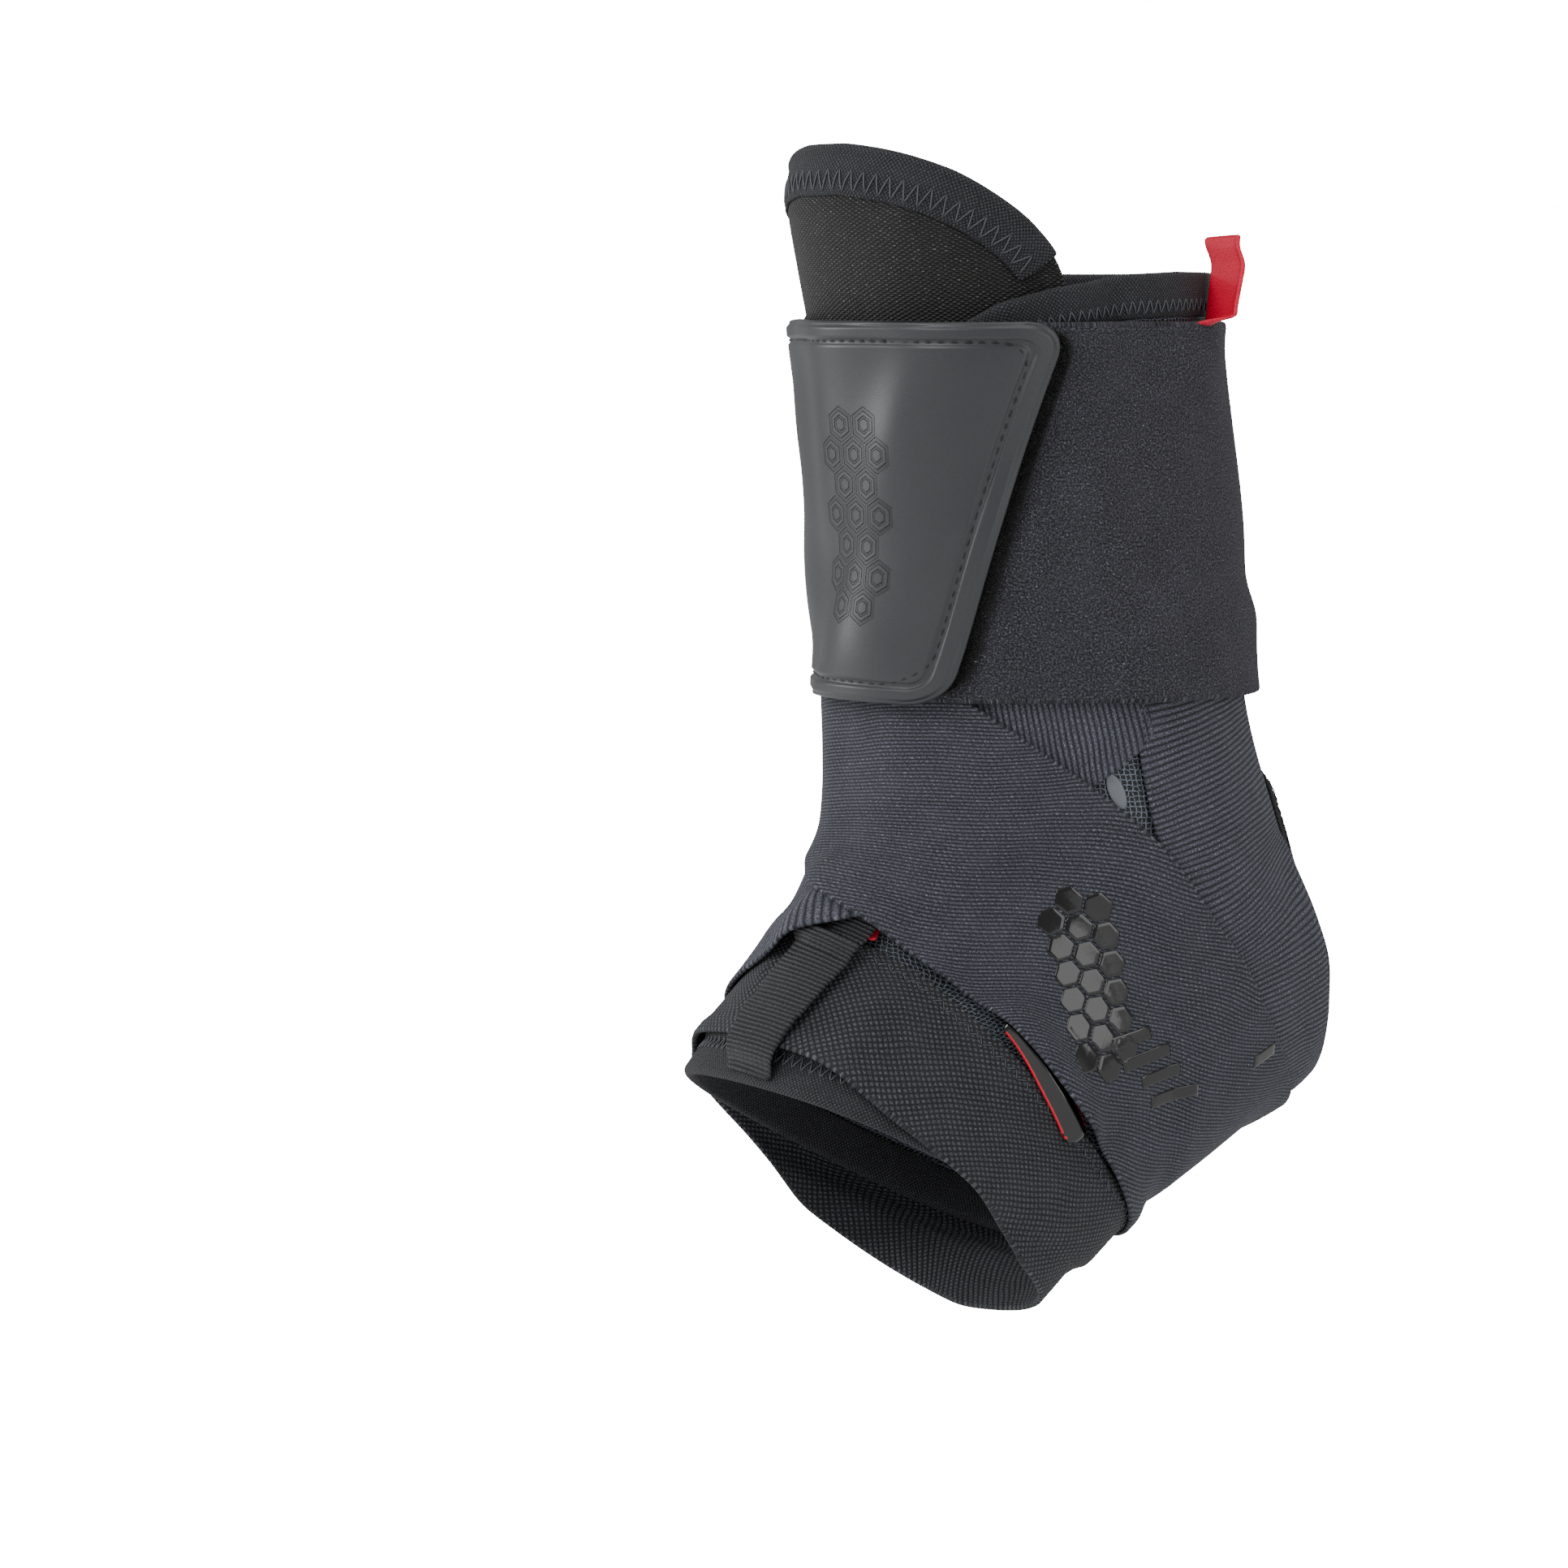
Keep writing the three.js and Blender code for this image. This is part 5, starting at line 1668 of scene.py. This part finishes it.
@dataclass
class Prints(Part):
    """Raised marks of a plain design on a cloth: hexagon cells, slanted bars and a pill."""

    surface: Patch
    thick: float = 0.18
    per_side: int = 5
    # Size and height of the rings of a mark, from its edge to its middle, as shares
    rings: tuple = ((1.0, -0.05), (1.0, 0.6), (0.93, 1.0), (0.7, 1.0), (0.4, 1.0), (0.02, 1.0))
    cell: float = 3.0
    cell_spacing: float = 1.08
    cluster: tuple = (116, -4)
    cluster_half: tuple = (17, 10)
    # Places of the bars along and across, and their half lengths
    bar_rows: tuple = ((130, -5, 5), (135.5, -4.5, 6), (141, -4, 5), (147, -3.5, 6), (159, 19, 3.4))
    bar_half_width: float = 1.3

    def shapes(self, name: str, outlines: list, look: str) -> None:
        """Makes raised filled shapes, with rings that shrink to the middle and follow the cloth.

        Args:
            name: Name of the piece.
            outlines: Shapes, each of the same count of corners (along, across) in mm.
            look: Name of the finish.
        """
        outlines = np.asarray(outlines, float)
        centre = outlines.mean(1, keepdims=True)
        t = (np.arange(self.per_side) / self.per_side)[None, None, :, None]
        edge = outlines[:, :, None] * (1 - t) + np.roll(outlines, -1, axis=1)[:, :, None] * t
        edge = edge.reshape(len(outlines), -1, 2)
        shares, lifts = np.array(self.rings).T
        spots = centre[:, None] + (edge - centre)[:, None] * shares[None, :, None, None]
        point, normal = self.surface.at(spots[..., 0], spots[..., 1])
        vertices = (point + normal * (lifts * self.thick)[None, :, None, None]).reshape(-1, 3)
        quads = ring_quads(np.arange(len(vertices)).reshape(spots.shape[:3]))
        a, b, c = (vertices[quads[:, k]] for k in range(3))
        if (np.cross(b - a, c - a) * normal.reshape(-1, 3)[quads[:, 0]]).sum() < 0:
            quads = quads[:, ::-1]
        piece = write_mesh(name, vertices, quads, spots.reshape(-1, 2)[quads])
        self.kit.finish(piece, "strap_twill", look)

    @staticmethod
    def polygon(row: float, column: float, radius: float, sides: int, wide: float = 1.0) -> Array:
        """Corners of a polygon."""
        angle = np.arange(sides) * 2 * np.pi / sides
        return np.stack([row + radius * np.cos(angle), column + radius * wide * np.sin(angle)], -1)

    def hexagons(self) -> None:
        """Builds the cells of a hexagon grid whose middles lie in a slanted oval."""
        size = self.cell
        row, column = np.meshgrid(np.arange(-3, 4), np.arange(-3, 4), indexing="ij")
        along = (row * 1.5 * size * self.cell_spacing).ravel()
        across = ((column + row % 2 / 2) * HEX_TALL * size * self.cell_spacing).ravel()
        long, wide = self.cluster_half
        chosen = (along / long) ** 2 + ((across + 0.5 * along) / wide) ** 2 < 1
        cells = [self.polygon(self.cluster[0] + a, self.cluster[1] + b, size, 6)
                 for a, b in zip(along[chosen], across[chosen])]
        self.shapes("strap_hexagons", cells, "gloss")

    def bars(self) -> None:
        """Builds the slanted bars."""
        direction, aside = np.array([0.45, 0.9]), np.array([0.9, -0.45])
        corners = ((1, 1), (1, -1), (-1, -1), (-1, 1))
        bars = [[(row, column) + direction * a * reach + aside * b * self.bar_half_width
                 for a, b in corners] for row, column, reach in self.bar_rows]
        self.shapes("strap_bars", bars, "gloss")

    def pill(self) -> None:
        """Builds the grey pill."""
        self.shapes("mesh_mark", [self.polygon(4.5, 0.0, 3.8, 24, 0.4)], "grey print")


@dataclass
class Brace(Part):
    """The whole brace."""

    mark_length: float = 9
    mark_half_width: float = 2.5

    def build(self) -> None:
        """Builds every sub-assembly from the inside out, and the marks last."""
        kit = self.kit
        for part in (Tongue, Boot, Midfoot):
            part(kit).build()
        strap = Straps(kit).build()
        Cuff(kit).build()
        run = kit.straight([69.5, 4.42], [73.5, 4.85], self.mark_length)
        mesh = kit.on_top(strip_places(kit, run, 2 * self.mark_half_width, 0.5, 10), "boot_body", 0.1)
        marks = Prints(kit, strap)
        marks.hexagons()
        marks.bars()
        columns = np.linspace(-self.mark_half_width, self.mark_half_width, mesh.shape[1])
        Prints(kit, Patch(mesh, np.linspace(0, self.mark_length, len(mesh)), columns)).pill()


def place_object(name: str, data: bpy.types.ID, place: Vector, ahead: Vector) -> Object:
    """Puts a camera or a lamp into the scene, looking along a direction.

    Args:
        name: Name of the object.
        data: The camera or the light.
        place: Its place in metres.
        ahead: Direction that it looks in.
    Returns:
        The object.
    """
    made = bpy.data.objects.new(name, data)
    made.location = place
    made.rotation_mode = "QUATERNION"
    made.rotation_quaternion = ahead.to_track_quat("-Z", "Y")
    bpy.context.scene.collection.objects.link(made)
    return made


@dataclass(frozen=True)
class Camera:
    """The photograph's viewpoint: angles in degrees, distance in mm and scale in pixels per mm."""

    azimuth: float = 55.0
    elevation: float = 6.0
    distance: float = 900.0
    scale: float = 6.2
    pixels: float = 1932.0
    origin: tuple = (1290.0, 1010.0)
    sensor: float = 36.0

    def build(self) -> None:
        """Places the camera so that the origin lands on its pixel."""
        a, e = np.radians([self.azimuth, self.elevation])
        back = np.array([np.sin(a) * np.cos(e), -np.cos(a) * np.cos(e), np.sin(e)])
        right = np.array([np.cos(a), np.sin(a), 0.0])
        up = np.cross(back, right)
        half = self.pixels / 2
        target = (-right * (self.origin[0] - half) + up * (self.origin[1] - half)) / self.scale
        data = bpy.data.cameras.new("camera")
        data.sensor_width = self.sensor
        data.lens = self.sensor * self.scale * self.distance / self.pixels
        data.clip_start, data.clip_end = 0.01, 20.0
        bpy.context.scene.camera = place_object("camera", data, Vector((target + back * self.distance) * MM),
                                                Vector(-back))


@dataclass(frozen=True)
class Studio:
    """A pale floor and soft lights. Floor and sky look white to the camera and shine no more for it."""

    sky: float = 0.5
    white: float = 16.0
    floor: float = -0.125
    floor_half: float = 6
    aim: tuple = (0, 0, 0.02)
    # Name, place and side in metres, power in watts
    lights: tuple = (
        ("key", (0.25, -1.1, 0.75), 0.7, 11),
        ("fill", (1.3, 0.35, 0.35), 0.9, 7),
        ("top", (0.1, 0.1, 1.3), 0.9, 6),
        ("left", (-0.8, -0.9, 0.3), 0.4, 8),
    )

    def seen(self, tree: Tree, plain: float) -> Socket:
        """Strength that is plain for light on the object and white for what the camera sees."""
        camera = tree.add("ShaderNodeLightPath", {}).outputs["Is Camera Ray"]
        return tree.math("MULTIPLY_ADD", camera, self.white - plain, plain)

    def build(self) -> None:
        """Builds floor, world and lights."""
        corners = [(self.floor_half * x, self.floor_half * y, self.floor)
                   for x, y in ((-1, -1), (1, -1), (1, 1), (-1, 1))]
        floor = write_mesh("floor", np.array(corners) / MM, np.array([[0, 1, 2, 3]]))
        tree = Tree("pale floor")
        tree.set(Base_Color=linear("#f4f4f4"), Roughness=0.9, Emission_Color=linear("#ffffff"),
                 Emission_Strength=self.seen(tree, 0.0))
        floor.data.materials.append(tree.material)
        floor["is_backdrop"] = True
        world = bpy.data.worlds.new("studio")
        sky = Tree("studio", world)
        sky.set(Color=linear("#ffffff"), Strength=self.seen(sky, self.sky))
        bpy.context.scene.world = world
        for name, place, size, power in self.lights:
            data = bpy.data.lights.new(name, "AREA")
            data.size, data.energy = size, power
            place_object(name, data, Vector(place), Vector(self.aim) - Vector(place))


def save_sizes() -> None:
    """Works out the frame's box and the finished object's box."""
    boxes = {name: [list(corner) for corner in box]
             for name, box in (("frame", frame_box), ("visual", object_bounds()))}


def main() -> None:
    """Builds the brace, the stage and the camera."""
    shape = Shape(SIZES)
    Brace(Kit(SIZES, shape, Layers(shape, SIZES), Finishes())).build()
    Studio().build()
    Camera().build()
    save_sizes()


if __name__ == "__main__":
    main()
